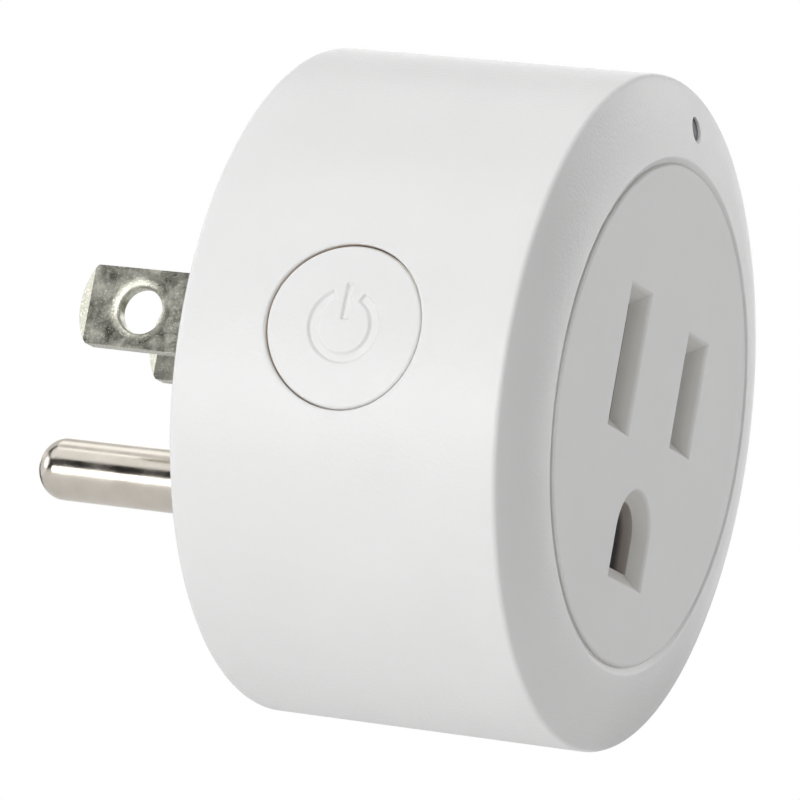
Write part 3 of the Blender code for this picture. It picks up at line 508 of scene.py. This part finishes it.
def plated_metal(name, color, dark, roughness, blotch, speckle=0.0, lines=None):
    """Plated metal with dark clouds about blotch across, and a fine grain.

    Speckle is how strongly bright specks cover it.  Lines stretches the noise along one axis into
    drawn lines.
    """
    nodes = Nodes(name, color, roughness, 1.0)
    clouds = nodes.noise(blotch, detail=5.0, roughness=0.65)
    tint = nodes.ramp(clouds, [(CLOUD_LOW, dark), (CLOUD_HIGH, color)])
    grains = nodes.noise(METAL_GRAIN)
    if speckle:
        bright = nodes.ramp(grains, [(SPECK_LOW, dark), (SPECK_HIGH, shade(color, SPECKLE_BRIGHTNESS))])
        tint = nodes.mixed(tint, bright, nodes.spread(grains, 0.0, speckle))
    nodes.use("Base Color", tint)
    nodes.use("Roughness", nodes.spread(clouds, roughness - METAL_SMOOTHER, roughness + METAL_ROUGHER))
    normal = nodes.bump(grains, METAL_GRAIN_DEPTH + SPECKLE_DEPTH * speckle)
    if lines:
        drawn = nodes.noise(DRAWN_LINE, detail=3.0, stretch=lines)
        normal = nodes.bump(drawn, DRAWN_LINE_DEPTH, under=normal)
    nodes.use("Normal", normal)
    return nodes.material


WHITE = (0.85, 0.85, 0.846)
WHITE_INSERT = (0.85, 0.85, 0.845)
UNTINTED = (1.0, 1.0, 1.0)
# Painted shade for the housing: (depth below its skin, tint) stops that darken and warm it in gaps and
# holes.
HOUSING_PAINTED_SHADE = (
    (0.31 * MM, UNTINTED),
    (0.42 * MM, (0.95, 0.80, 0.64)),
    (1.2 * MM, (0.5, 0.36, 0.25)),
)
# Painted shade for the outlet plate: (depth below its face, tint) stops, darker and warmer deeper in the
# funnels and passages.
INSERT_PAINTED_SHADE = (
    (0.0, UNTINTED),
    (0.3 * MM, (0.83, 0.815, 0.79)),
    (1.29 * MM, (0.86, 0.84, 0.81)),
    (1.34 * MM, (0.64, 0.58, 0.535)),
    (2.1 * MM, (0.60, 0.54, 0.49)),
    (2.6 * MM, (0.20, 0.19, 0.20)),
)

PLASTICS = {
    "white_housing": {
        "color": WHITE,
        "roughness": 0.42,
        "grain": 0.24 * MM,
        "depth": 0.015 * MM,
        "variation": 0.012,
    },
    "white_shell": {
        "color": WHITE,
        "roughness": 0.40,
        "grain": 0.25 * MM,
        "depth": 0.012 * MM,
        "variation": 0.012,
        "glints": 0.06 * MM,
        "painted_cavity_shade": (below_housing, HOUSING_PAINTED_SHADE),
    },
    "white_insert": {
        "color": WHITE_INSERT,
        "roughness": 0.50,
        "grain": 0.14 * MM,
        "depth": 0.006 * MM,
        "variation": 0.01,
        "painted_cavity_shade": (below_insert, INSERT_PAINTED_SHADE),
    },
    "black_plastic": {
        "color": (0.035, 0.035, 0.037),
        "roughness": 0.5,
        "grain": 0.25 * MM,
        "depth": 0.01 * MM,
        "variation": 0.2,
    },
    "blue_plastic": {
        "color": (0.05, 0.16, 0.45),
        "roughness": 0.42,
        "grain": 0.25 * MM,
        "depth": 0.008 * MM,
        "variation": 0.1,
    },
    "yellow_plastic": {
        "color": (0.78, 0.58, 0.09),
        "roughness": 0.4,
        "grain": 0.3 * MM,
        "depth": 0.01 * MM,
        "variation": 0.06,
    },
    "ceramic": {
        "color": (0.70, 0.65, 0.56),
        "roughness": 0.6,
        "grain": 0.2 * MM,
        "depth": 0.015 * MM,
        "variation": 0.08,
    },
    "shrink_sleeve": {
        "color": (0.03, 0.03, 0.09),
        "roughness": 0.3,
        "grain": 1.2 * MM,
        "depth": 0.01 * MM,
        "variation": 0.2,
    },
    "circuit_board": {
        "color": (0.03, 0.19, 0.08),
        "roughness": 0.38,
        "grain": 0.5 * MM,
        "depth": 0.01 * MM,
        "variation": 0.15,
    },
    "clear_plastic": {
        "color": (0.010, 0.012, 0.030),
        "roughness": 0.45,
        "grain": 0.5 * MM,
        "depth": 0.002 * MM,
        "variation": 0.05,
    },
}

METALS = {
    "nickel_plate": {
        "color": (0.70, 0.69, 0.60),
        "dark": (0.30, 0.30, 0.25),
        "roughness": 0.30,
        "blotch": 1.3 * MM,
        "speckle": 0.6,
    },
    "nickel_pin": {
        "color": (0.74, 0.69, 0.62),
        "dark": (0.64, 0.59, 0.52),
        "roughness": 0.17,
        "blotch": 3.0 * MM,
        "lines": (1.0, 1.0, 0.08),
    },
    "spring_brass": {
        "color": (0.80, 0.60, 0.30),
        "dark": (0.62, 0.42, 0.18),
        "roughness": 0.30,
        "blotch": 2.0 * MM,
    },
    "steel": {
        "color": (0.62, 0.62, 0.63),
        "dark": (0.42, 0.42, 0.44),
        "roughness": 0.34,
        "blotch": 1.0 * MM,
    },
    "tin_plate": {
        "color": (0.74, 0.74, 0.75),
        "dark": (0.58, 0.58, 0.60),
        "roughness": 0.32,
        "blotch": 3.0 * MM,
    },
    "copper_winding": {
        "color": (0.72, 0.34, 0.18),
        "dark": (0.48, 0.20, 0.10),
        "roughness": 0.34,
        "blotch": 0.8 * MM,
    },
}

MATERIALS = {name: moulded_plastic(name, **look) for name, look in PLASTICS.items()}
MATERIALS |= {name: plated_metal(name, **look) for name, look in METALS.items()}


# ---------------------------------------------------------------- housing


def ring_profile():
    """The crowned front ring: a softened inner chamfer, one shallow arc and a rounded outer edge."""
    start = math.pi / 2 - RING_SLOPE_INNER
    end = math.pi / 2 - RING_SLOPE_OUTER
    fillet_centre = (RING_CREST_RADIUS, RING_CREST - RING_INNER_ROUND)
    fillet = arc(fillet_centre, RING_INNER_ROUND, math.pi / 2 + RING_INNER_SLOPE, start, EDGE_STEPS)
    fall = (fillet[0][0] - RING_INNER) * math.tan(RING_INNER_SLOPE)
    chamfer = [(RING_INNER, fillet[0][1] - fall)]
    edge_r = BODY_RADIUS - RING_EDGE_RADIUS
    crown_end_r = edge_r + RING_EDGE_RADIUS * math.cos(end)
    crown_radius = (crown_end_r - fillet[-1][0]) / (math.cos(end) - math.cos(start))
    crown_centre = (
        fillet[-1][0] - crown_radius * math.cos(start),
        fillet[-1][1] - crown_radius * math.sin(start),
    )
    crown = arc(crown_centre, crown_radius, start, end, CROWN_STEPS)
    edge_centre = (edge_r, crown[-1][1] - RING_EDGE_RADIUS * math.sin(end))
    edge = arc(edge_centre, RING_EDGE_RADIUS, end, 0.0, EDGE_STEPS)
    return chamfer + fillet + crown[1:] + edge[1:]


def housing_profile():
    """The whole wall in section, from the ring's inner edge round the outside and back inside."""
    inner = BODY_RADIUS - WALL
    underside = RING_CREST - RING_THICKNESS
    profile = ring_profile()
    side_front = profile[-1][1]
    for i in range(1, SIDE_STEPS):
        profile.append((BODY_RADIUS, side_front + (REAR_EDGE_RADIUS - side_front) * i / SIDE_STEPS))
    rear_centre = (BODY_RADIUS - REAR_EDGE_RADIUS, REAR_EDGE_RADIUS)
    profile += arc(rear_centre, REAR_EDGE_RADIUS, 0.0, -math.pi / 2, REAR_EDGE_STEPS)
    profile += [
        (SEAT_RADIUS, 0.0),
        (SEAT_RADIUS, SEAT_DEPTH),
        (inner, SEAT_DEPTH),
        (inner, underside),
        (RING_INNER, underside),
    ]
    return profile


def wall_point(radius, y, z, depth=0.0):
    """A point on the left side of a cylinder about the plug's axis, moved inwards by depth."""
    return Vector((-math.sqrt(radius * radius - y * y) + depth, y, z))


def wall_ring(wall, radius, depth, y, z, steps):
    """A circle about an axis across the plug at y and z, laid on its wall and moved in by depth."""
    points = []
    for i in range(steps):
        angle = math.tau * i / steps
        points.append(wall_point(wall, y + radius * math.sin(angle), z + radius * math.cos(angle), depth))
    return points


def hole_cutter():
    """A plug shaped like the button's hole, with a rounded edge where it meets the side wall.

    The rounding starts outside the wall, so that it meets the skin at HOLE_EDGE_START.
    """
    lift = HOLE_EDGE * (1.0 - math.cos(HOLE_EDGE_START))
    levels = [(HOLE_RADIUS + HOLE_EDGE, -HOLE_ABOVE)]
    for i in range(HOLE_EDGE_STEPS + 1):
        angle = math.pi / 2 * i / HOLE_EDGE_STEPS
        radius = HOLE_RADIUS + HOLE_EDGE * (1.0 - math.sin(angle))
        levels.append((radius, HOLE_EDGE * (1.0 - math.cos(angle)) - lift))
    levels.append((HOLE_RADIUS, HOLE_DEPTH))
    rings = []
    for radius, depth in levels:
        rings.append(wall_ring(BODY_RADIUS, radius, depth, BUTTON_Y, BUTTON_Z, HOLE_STEPS))
    return loft("button_hole", rings)


def light_cutter():
    """The status light's hole, with a small flared mouth on the sloping ring."""
    flare = 2.0 * LIGHT_MOUTH
    profile = [
        (LIGHT_RADIUS + flare, LIGHT_SURFACE + LIGHT_HOLE_ABOVE),
        (LIGHT_RADIUS + flare, LIGHT_SURFACE + flare),
        (LIGHT_RADIUS, LIGHT_SURFACE - LIGHT_MOUTH),
        (LIGHT_RADIUS, LIGHT_SURFACE - LIGHT_HOLE_DEPTH),
    ]
    return turned("light_hole", profile, steps=LIGHT_HOLE_STEPS, centre=(LIGHT_X, LIGHT_Y))


def make_housing():
    """The side wall and front ring in one, with the button's and the status light's holes."""
    shell = turned("housing_shell", housing_profile(), closed=True)
    carve(shell, hole_cutter(), light_cutter())
    finish_piece(shell, "white_shell", "front_housing")


def ring_height(x, y):
    """The height of the crowned ring's surface at a place on it."""
    out = math.hypot(x, y) - RING_CREST_RADIUS
    return RING_CREST - out * (RING_FALL + RING_CURVE * out)


def make_light_pipe():
    """The status light's dark end, which follows the slope of the ring just below its surface."""
    centre = (LIGHT_X, LIGHT_Y)
    rings = [[Vector((*centre, ring_height(*centre) - LIGHT_PIPE_RECESS))]]
    for share, sink in LIGHT_PIPE_END:
        row = ring(LIGHT_PIPE_RADIUS * share, 0.0, LIGHT_PIPE_STEPS, centre)
        for point in row:
            point.z = ring_height(point.x, point.y) - LIGHT_PIPE_RECESS - sink
        rings.append(row)
    foot = plug_box("led_light_pipe")[0].z
    rings.append(ring(LIGHT_PIPE_RADIUS, foot, LIGHT_PIPE_STEPS, centre))
    pipe = loft("light_pipe_fine", rings)
    finish_piece(pipe, "clear_plastic", "led_light_pipe")


# ---------------------------------------------------------------- outlet


def slot_outline(half_width, low, high, centre_x):
    """A blade opening's rectangle; low and high are its reach below and above the blades' line."""
    return [
        (centre_x - half_width, SLOT_Y - low),
        (centre_x + half_width, SLOT_Y - low),
        (centre_x + half_width, SLOT_Y + high),
        (centre_x - half_width, SLOT_Y + high),
    ]


def arch_outline(half_width, drop):
    """A round-topped opening with a flat bottom, for the ground pin."""
    arch = arc((0.0, GROUND_Y), half_width, 0.0, math.pi, ARCH_STEPS)
    return [(half_width, GROUND_Y - drop)] + arch + [(-half_width, GROUND_Y - drop)]


def level(outline, z):
    """An outline's points at one height."""
    return [Vector((x, y, z)) for x, y in outline]


def funnel_rings(outline, depth):
    """Levels of a funnel and its passage, from as far in front of the face as the funnel is deep.

    outline(share) is the funnel's shape where its sides still spread by that share.
    """
    rings = [level(outline(2.0), INSERT_FACE + depth)]
    for i in range(FUNNEL_STEPS + 1):
        rings.append(level(outline(1.0 - i / FUNNEL_STEPS), INSERT_FACE - depth * i / FUNNEL_STEPS))
    rings.append(level(outline(0.0), INSERT_FACE - 2.0 * INSERT_THICKNESS))
    return rings


def slot_cutter(name, height, centre_x):
    """A blade opening: a funnel with straight sides and a slightly rolled top, then a passage."""

    def outline(share):
        side = FUNNEL_SPREAD * share
        inward = min(1.0, share)
        roll = 1.0 - (1.0 - inward**SLOT_TOP_ROLL) ** (1.0 / SLOT_TOP_ROLL)
        top = SLOT_TOP_SPREAD * (roll + share - inward)
        return slot_outline(SLOT_WIDTH / 2 + side, height / 2 + side, height / 2 + top, centre_x)

    return loft(name, funnel_rings(outline, SLOT_FUNNEL_DEPTH))


def ground_cutter():
    """The ground pin's opening: an arched funnel ahead of a straight passage."""

    def outline(share):
        spread = FUNNEL_SPREAD * share
        return arch_outline(GROUND_HALF_WIDTH + spread, GROUND_DROP + spread)

    return loft("ground_funnel", funnel_rings(outline, GROUND_FUNNEL_DEPTH))


def make_insert():
    """The outlet's face plate, whose rim steps out below its rounded edge to close the seam."""
    edge_centre = (INSERT_RADIUS - INSERT_EDGE, INSERT_FACE - INSERT_EDGE)
    edge = arc(edge_centre, INSERT_EDGE, math.pi / 2, 0.0, EDGE_STEPS)
    step = INSERT_FACE - INSERT_STEP_DEPTH
    back = INSERT_FACE - INSERT_THICKNESS
    rim = [(INSERT_RADIUS, step), (INSERT_STEP_RADIUS, step), (INSERT_STEP_RADIUS, back)]
    plate = turned("insert_plate", edge + rim)
    carve(
        plate,
        slot_cutter("neutral_funnel", NEUTRAL_SLOT_HEIGHT, -BLADE_X),
        slot_cutter("hot_funnel", HOT_SLOT_HEIGHT, BLADE_X),
        ground_cutter(),
    )
    finish_piece(plate, "white_insert", "outlet_insert")


# ---------------------------------------------------------------- power button


def smooth_step(value):
    """A ramp from 0 to 1 with soft ends."""
    value = min(1.0, max(0.0, value))
    return value * value * (3.0 - 2.0 * value)


def symbol_distance(h, v):
    """How far a point of the cap lies outside the power symbol; negative inside it."""
    radius = math.hypot(h, v)
    across = (SYMBOL_OUTER - SYMBOL_INNER) / 2
    around = abs(radius - (SYMBOL_OUTER + SYMBOL_INNER) / 2) - across
    past_gap = (SYMBOL_GAP - abs(math.atan2(h, v))) * radius
    arc_part = max(around, past_gap)
    low, high = SYMBOL_BAR
    bar_part = max(abs(h) - SYMBOL_BAR_HALF, low - v, v - high)
    return min(arc_part, bar_part)


def cap_point(radius, angle):
    """A point of the cap's face: rounded at the rim and sunk where the symbol is."""
    h = radius * math.cos(angle)
    v = radius * math.sin(angle)
    sunk = SYMBOL_DEPTH * smooth_step(0.5 - symbol_distance(h, v) / SYMBOL_SOFTNESS)
    return wall_point(CAP_FACE, CAP_Y + v, CAP_Z + h, sunk)


def make_cap():
    """The power button's cap, with the standby symbol sunk into its face."""
    flat_radius = CAP_RADIUS - CAP_EDGE
    rings = [[wall_point(CAP_FACE, CAP_Y, CAP_Z)]]
    for k in range(1, CAP_FACE_RINGS + 1):
        radius = flat_radius * k / CAP_FACE_RINGS
        rings.append([cap_point(radius, math.tau * i / CAP_STEPS) for i in range(CAP_STEPS)])
    rim = []
    for k in range(1, CAP_EDGE_STEPS + 1):
        turn = math.pi / 2 * k / CAP_EDGE_STEPS
        rim.append((flat_radius + CAP_EDGE * math.sin(turn), CAP_EDGE * (1.0 - math.cos(turn))))
    rim.append((CAP_RADIUS, CAP_SKIRT_DEPTH - CAP_EDGE / 2))
    rim.append((CAP_SKIRT_RADIUS, CAP_SKIRT_DEPTH))
    for radius, depth in rim:
        rings.append(wall_ring(CAP_FACE, radius, depth, CAP_Y, CAP_Z, CAP_STEPS))
    for radius, x in (
        (CAP_SKIRT_RADIUS, FLANGE_FRONT),
        (FLANGE_RADIUS, FLANGE_FRONT),
        (FLANGE_RADIUS, FLANGE_BACK),
        (STEM_RADIUS, FLANGE_BACK),
        (STEM_RADIUS, BUTTON_HIGH.x),
    ):
        circle = ring(radius, 0.0, CAP_STEPS, (CAP_Z, CAP_Y))
        rings.append([Vector((x, point.y, point.x)) for point in circle])
    cap = loft("button_cap", rings)
    finish_piece(cap, "white_shell", "power_button", body="button")


# ---------------------------------------------------------------- blades and pin


def blade_outline():
    """The blade's outline from root to round tip; it narrows slightly towards the tip."""
    root_half = BLADE_HALF_WIDTH
    tip_half = BLADE_HALF_WIDTH - BLADE_TAPER
    centre = BLADE_TIP + BLADE_TIP_RADIUS
    reach = math.asin(tip_half / BLADE_TIP_RADIUS)
    points = [(-root_half, BLADE_ROOT)]
    for i in range(BLADE_TIP_STEPS + 1):
        angle = -reach + 2.0 * reach * i / BLADE_TIP_STEPS
        points.append((BLADE_TIP_RADIUS * math.sin(angle), centre - BLADE_TIP_RADIUS * math.cos(angle)))
    points.append((root_half, BLADE_ROOT))
    return points


def tip_wedge(name, centre_x, face_side):
    """A wedge that bevels one face of the tip back to a straight line across the blade.

    Its slope takes BLADE_BEVEL_DEPTH off the face at the tip and runs out BLADE_BEVEL_LENGTH behind it,
    and its corners lie on that slope or well clear of the blade.
    """
    depth = BLADE_BEVEL_DEPTH
    length = BLADE_BEVEL_LENGTH
    span = 2.0 * BLADE_HALF_WIDTH
    clear = BLADE_HALF_THICKNESS + 4.0 * depth
    section = [
        (BLADE_HALF_THICKNESS + depth, BLADE_TIP + 2.0 * length),
        (BLADE_HALF_THICKNESS - 2.0 * depth, BLADE_TIP - length),
        (clear, BLADE_TIP - length),
        (clear, BLADE_TIP + 2.0 * length),
    ]
    rows = []
    for y in (BLADE_Y - span, BLADE_Y + span):
        rows.append([Vector((centre_x + face_side * x, y, z)) for x, z in section])
    return loft(name, rows)


def blade_hole_cutter(name, centre_x):
    """A cutter for the blade's hole, which dishes both faces round it and rolls its rims."""
    start = -math.pi / 2 - BLADE_DISH_SLOPE
    rim_radius = BLADE_HOLE_RADIUS + BLADE_HOLE_RIM
    rim_centre = (rim_radius, BLADE_HOLE_RIM + BLADE_DISH_DEPTH - BLADE_HALF_THICKNESS)
    rim = arc(rim_centre, BLADE_HOLE_RIM, start, -math.pi, BLADE_RIM_STEPS)
    rise = 2.0 * BLADE_DISH_DEPTH
    profile = [(rim[0][0] + rise / math.tan(BLADE_DISH_SLOPE), rim[0][1] - rise)] + rim
    profile += [(radius, -x) for radius, x in reversed(profile)]
    hole_y = BLADE_Y - BLADE_HOLE_DROP
    hole_z = BLADE_TIP + BLADE_HOLE_FROM_TIP
    rows = []
    for radius, x in profile:
        circle = ring(radius, 0.0, BLADE_HOLE_STEPS)
        rows.append([Vector((centre_x + x, hole_y + p.x, hole_z + p.y)) for p in circle])
    return loft(name, rows)


def make_blade(name, side):
    """A flat blade with softened edges, a bevelled round tip and rolled rims round its hole."""
    centre_x = side * BLADE_X
    rings = []
    for share in (-1.0, 1.0):
        x = centre_x + share * BLADE_HALF_THICKNESS
        rings.append([Vector((x, BLADE_Y + y, z)) for y, z in blade_outline()])
    blade = loft(f"{name}_fine", rings)
    wedges = [tip_wedge(f"{name}_wedge_{face_side}", centre_x, face_side) for face_side in (-1, 1)]
    carve(blade, *wedges)
    round_edges(blade, BLADE_EDGE, BLADE_EDGE_ANGLE, BLADE_EDGE_SEGMENTS)
    carve(blade, blade_hole_cutter(f"{name}_hole", centre_x))
    finish_piece(blade, "nickel_plate", name, sharp=BLADE_SHARP_ANGLE)


def make_pin():
    """The ground pin, with a slightly flattened dome at its tip."""
    profile = [(0.0, BLADE_ROOT), (PIN_RADIUS, BLADE_ROOT), (PIN_RADIUS, PIN_LOW.z + PIN_DOME)]
    for i in range(1, PIN_DOME_STEPS):
        angle = math.pi / 2 * i / PIN_DOME_STEPS
        profile.append((PIN_RADIUS * math.cos(angle), PIN_LOW.z + PIN_DOME * (1.0 - math.sin(angle))))
    profile.append((0.0, PIN_LOW.z))
    pin = turned("ground_pin_fine", profile, steps=PIN_STEPS, centre=(0.0, GROUND_Y))
    finish_piece(pin, "nickel_pin", "ground_pin", sharp=PIN_SHARP_ANGLE)


# ---------------------------------------------------------------- carried-over nodes


def dress_cad_nodes():
    """Gives every CAD node the procedural material of its slot in the record."""
    for row in frame["record"]["subparts"]:
        data = frame["nodes"][row["node"]].data
        data.materials.clear()
        data.materials.append(MATERIALS[row["material_slot"]])


# ---------------------------------------------------------------- light, floor and camera

# Name, azimuth and elevation in degrees, distance and width in metres, power in watts.
SOFT_BOXES = (
    ("button_side_box", -87.0, 0.0, 1.2, 0.6, 3.8),
    ("button_side_low_box", -115.0, -13.0, 0.75, 0.26, 0.66),
    ("overhead_box", 0.0, 89.0, 1.2, 1.8, 6.05),
    ("rear_right_upper_box", 135.0, 40.0, 1.2, 1.6, 4.4),
    ("rear_box", 180.0, 0.0, 1.2, 1.2, 2.8),
    ("backdrop_box", 114.0, 9.0, 1.2, 1.2, 2.2),
    ("right_box", 90.0, 20.0, 1.2, 0.75, 0.9),
    ("front_right_box", 60.0, 20.0, 1.2, 0.75, 2.05),
    ("ring_box", 75.0, 26.0, 1.2, 0.4, 0.12),
    ("button_side_upper_box", -90.0, 40.0, 1.2, 0.75, 2.1),
    ("rear_left_upper_box", -135.0, 40.0, 1.2, 0.9, 2.0),
    ("front_left_box", -60.0, 0.0, 1.2, 0.75, 1.75),
    ("front_right_low_box", 60.0, 0.0, 1.2, 0.75, 1.4),
    ("front_right_upper_box", 60.0, 40.0, 1.2, 0.75, 1.2),
    ("rear_left_box", -160.0, 7.0, 1.2, 0.6, 1.3),
    ("front_box", 30.0, 0.0, 1.2, 0.75, 0.4),
)
SURROUND_STRENGTH = 0.01
PURE_WHITE = (1.0, 1.0, 1.0, 1.0)
FLOOR_DROP = 0.25
FLOOR_RADIUS = 3.0
FLOOR_THICKNESS = 0.01
FLOOR_STEPS = 96
# Name, height of the top and glow of the floor that lights the plug and of the one the camera sees.
FLOORS = (("bounce_floor", 0.0, 0.0), ("pale_floor", 0.001, 0.62))
FLOOR_LOOK = {
    "color": (0.83, 0.83, 0.83),
    "roughness": 0.8,
    "grain": 2.0 * MM,
    "depth": 0.02 * MM,
    "variation": 0.01,
}
CAMERA_AZIMUTH = -65.741
CAMERA_ELEVATION = -8.825
CAMERA_ROLL = math.radians(10.261)
CAMERA_DISTANCE = 421.28 * MM
CAMERA_ASIDE = -5.675 * MM
CAMERA_ABOVE = -0.22 * MM
CAMERA_LENS = 255.3
CAMERA_SENSOR = 36.0
CAMERA_CLIP = 0.01
LOOK_AT = Vector((0.0, -13.0 * MM, 0.0))


def direction(azimuth, elevation):
    """The unit vector towards a place seen from the plug: azimuth 0 is in front of the outlet."""
    turn = math.radians(azimuth)
    rise = math.radians(elevation)
    return Vector((math.sin(turn) * math.cos(rise), -math.cos(turn) * math.cos(rise), math.sin(rise)))


def aimed(position, target, roll=0.0):
    """A matrix at position that looks along -Z at target, with Y up."""
    back = (Vector(position) - Vector(target)).normalized()
    side = Vector((0.0, 0.0, 1.0)).cross(back).normalized()
    over = back.cross(side)
    right = math.cos(roll) * side + math.sin(roll) * over
    up = -math.sin(roll) * side + math.cos(roll) * over
    turn = Matrix((right, up, back)).transposed().to_4x4()
    return Matrix.Translation(position) @ turn


def make_camera():
    """A long lens from the button's side, a little below the plug."""
    data = bpy.data.cameras.new("camera")
    data.lens = CAMERA_LENS
    data.sensor_width = CAMERA_SENSOR
    data.clip_start = CAMERA_CLIP
    camera = link("camera", data)
    back = direction(CAMERA_AZIMUTH, CAMERA_ELEVATION)
    matrix = aimed(LOOK_AT + back * CAMERA_DISTANCE, LOOK_AT, CAMERA_ROLL)
    matrix.translation += matrix.col[0].xyz * CAMERA_ASIDE + matrix.col[1].xyz * CAMERA_ABOVE
    camera.matrix_world = matrix
    bpy.context.scene.camera = camera


def soft_box(name, azimuth, elevation, distance, size, power):
    """A round area light that faces the plug."""
    data = bpy.data.lights.new(name, "AREA")
    data.shape = "DISK"
    data.size = size
    data.energy = power
    light = link(name, data)
    light.visible_camera = False
    centre = Vector((0.0, 0.0, 0.0))
    light.matrix_world = aimed(direction(azimuth, elevation) * distance, centre)


def make_world():
    """A surround that looks pure white to the camera and adds very little light of its own."""
    world = bpy.data.worlds.new("studio")
    bpy.context.scene.world = world
    world.use_nodes = True
    tree = world.node_tree
    surround = tree.nodes["Background"]
    surround.inputs["Color"].default_value = PURE_WHITE
    surround.inputs["Strength"].default_value = SURROUND_STRENGTH
    backdrop = tree.nodes.new("ShaderNodeBackground")
    backdrop.inputs["Color"].default_value = PURE_WHITE
    backdrop.inputs["Strength"].default_value = 1.0
    seen = tree.nodes.new("ShaderNodeLightPath").outputs["Is Camera Ray"]
    choice = tree.nodes.new("ShaderNodeMixShader")
    tree.links.new(seen, choice.inputs[0])
    tree.links.new(surround.outputs[0], choice.inputs[1])
    tree.links.new(backdrop.outputs[0], choice.inputs[2])
    tree.links.new(choice.outputs[0], tree.nodes["World Output"].inputs["Surface"])


def make_floor():
    """A floor that bounces light up onto the plug, and just above it the pale one the camera sees."""
    for name, top, glow in FLOORS:
        floor = turned(name, [(FLOOR_RADIUS, top), (FLOOR_RADIUS, -FLOOR_THICKNESS)], steps=FLOOR_STEPS)
        floor.location = (0.0, 0.0, CAD_LOW.z - FLOOR_DROP)
        material = moulded_plastic(name, **FLOOR_LOOK)
        shader = material.node_tree.nodes["Principled BSDF"]
        shader.inputs["Emission Color"].default_value = PURE_WHITE
        shader.inputs["Emission Strength"].default_value = glow
        floor.data.materials.append(material)
        floor.visible_camera = glow > 0.0
        for sight in ("visible_diffuse", "visible_glossy", "visible_transmission", "visible_shadow"):
            setattr(floor, sight, glow == 0.0)


def make_studio():
    """Surround, floors, lights and camera."""
    make_world()
    make_floor()
    for box in SOFT_BOXES:
        soft_box(*box)
    make_camera()
    bpy.context.scene.view_settings.view_transform = "Standard"
    bpy.context.scene.view_settings.look = "None"


dress_cad_nodes()
make_housing()
make_light_pipe()
make_insert()
make_cap()
make_blade("neutral_blade", -1)
make_blade("hot_blade", 1)
make_pin()
make_studio()
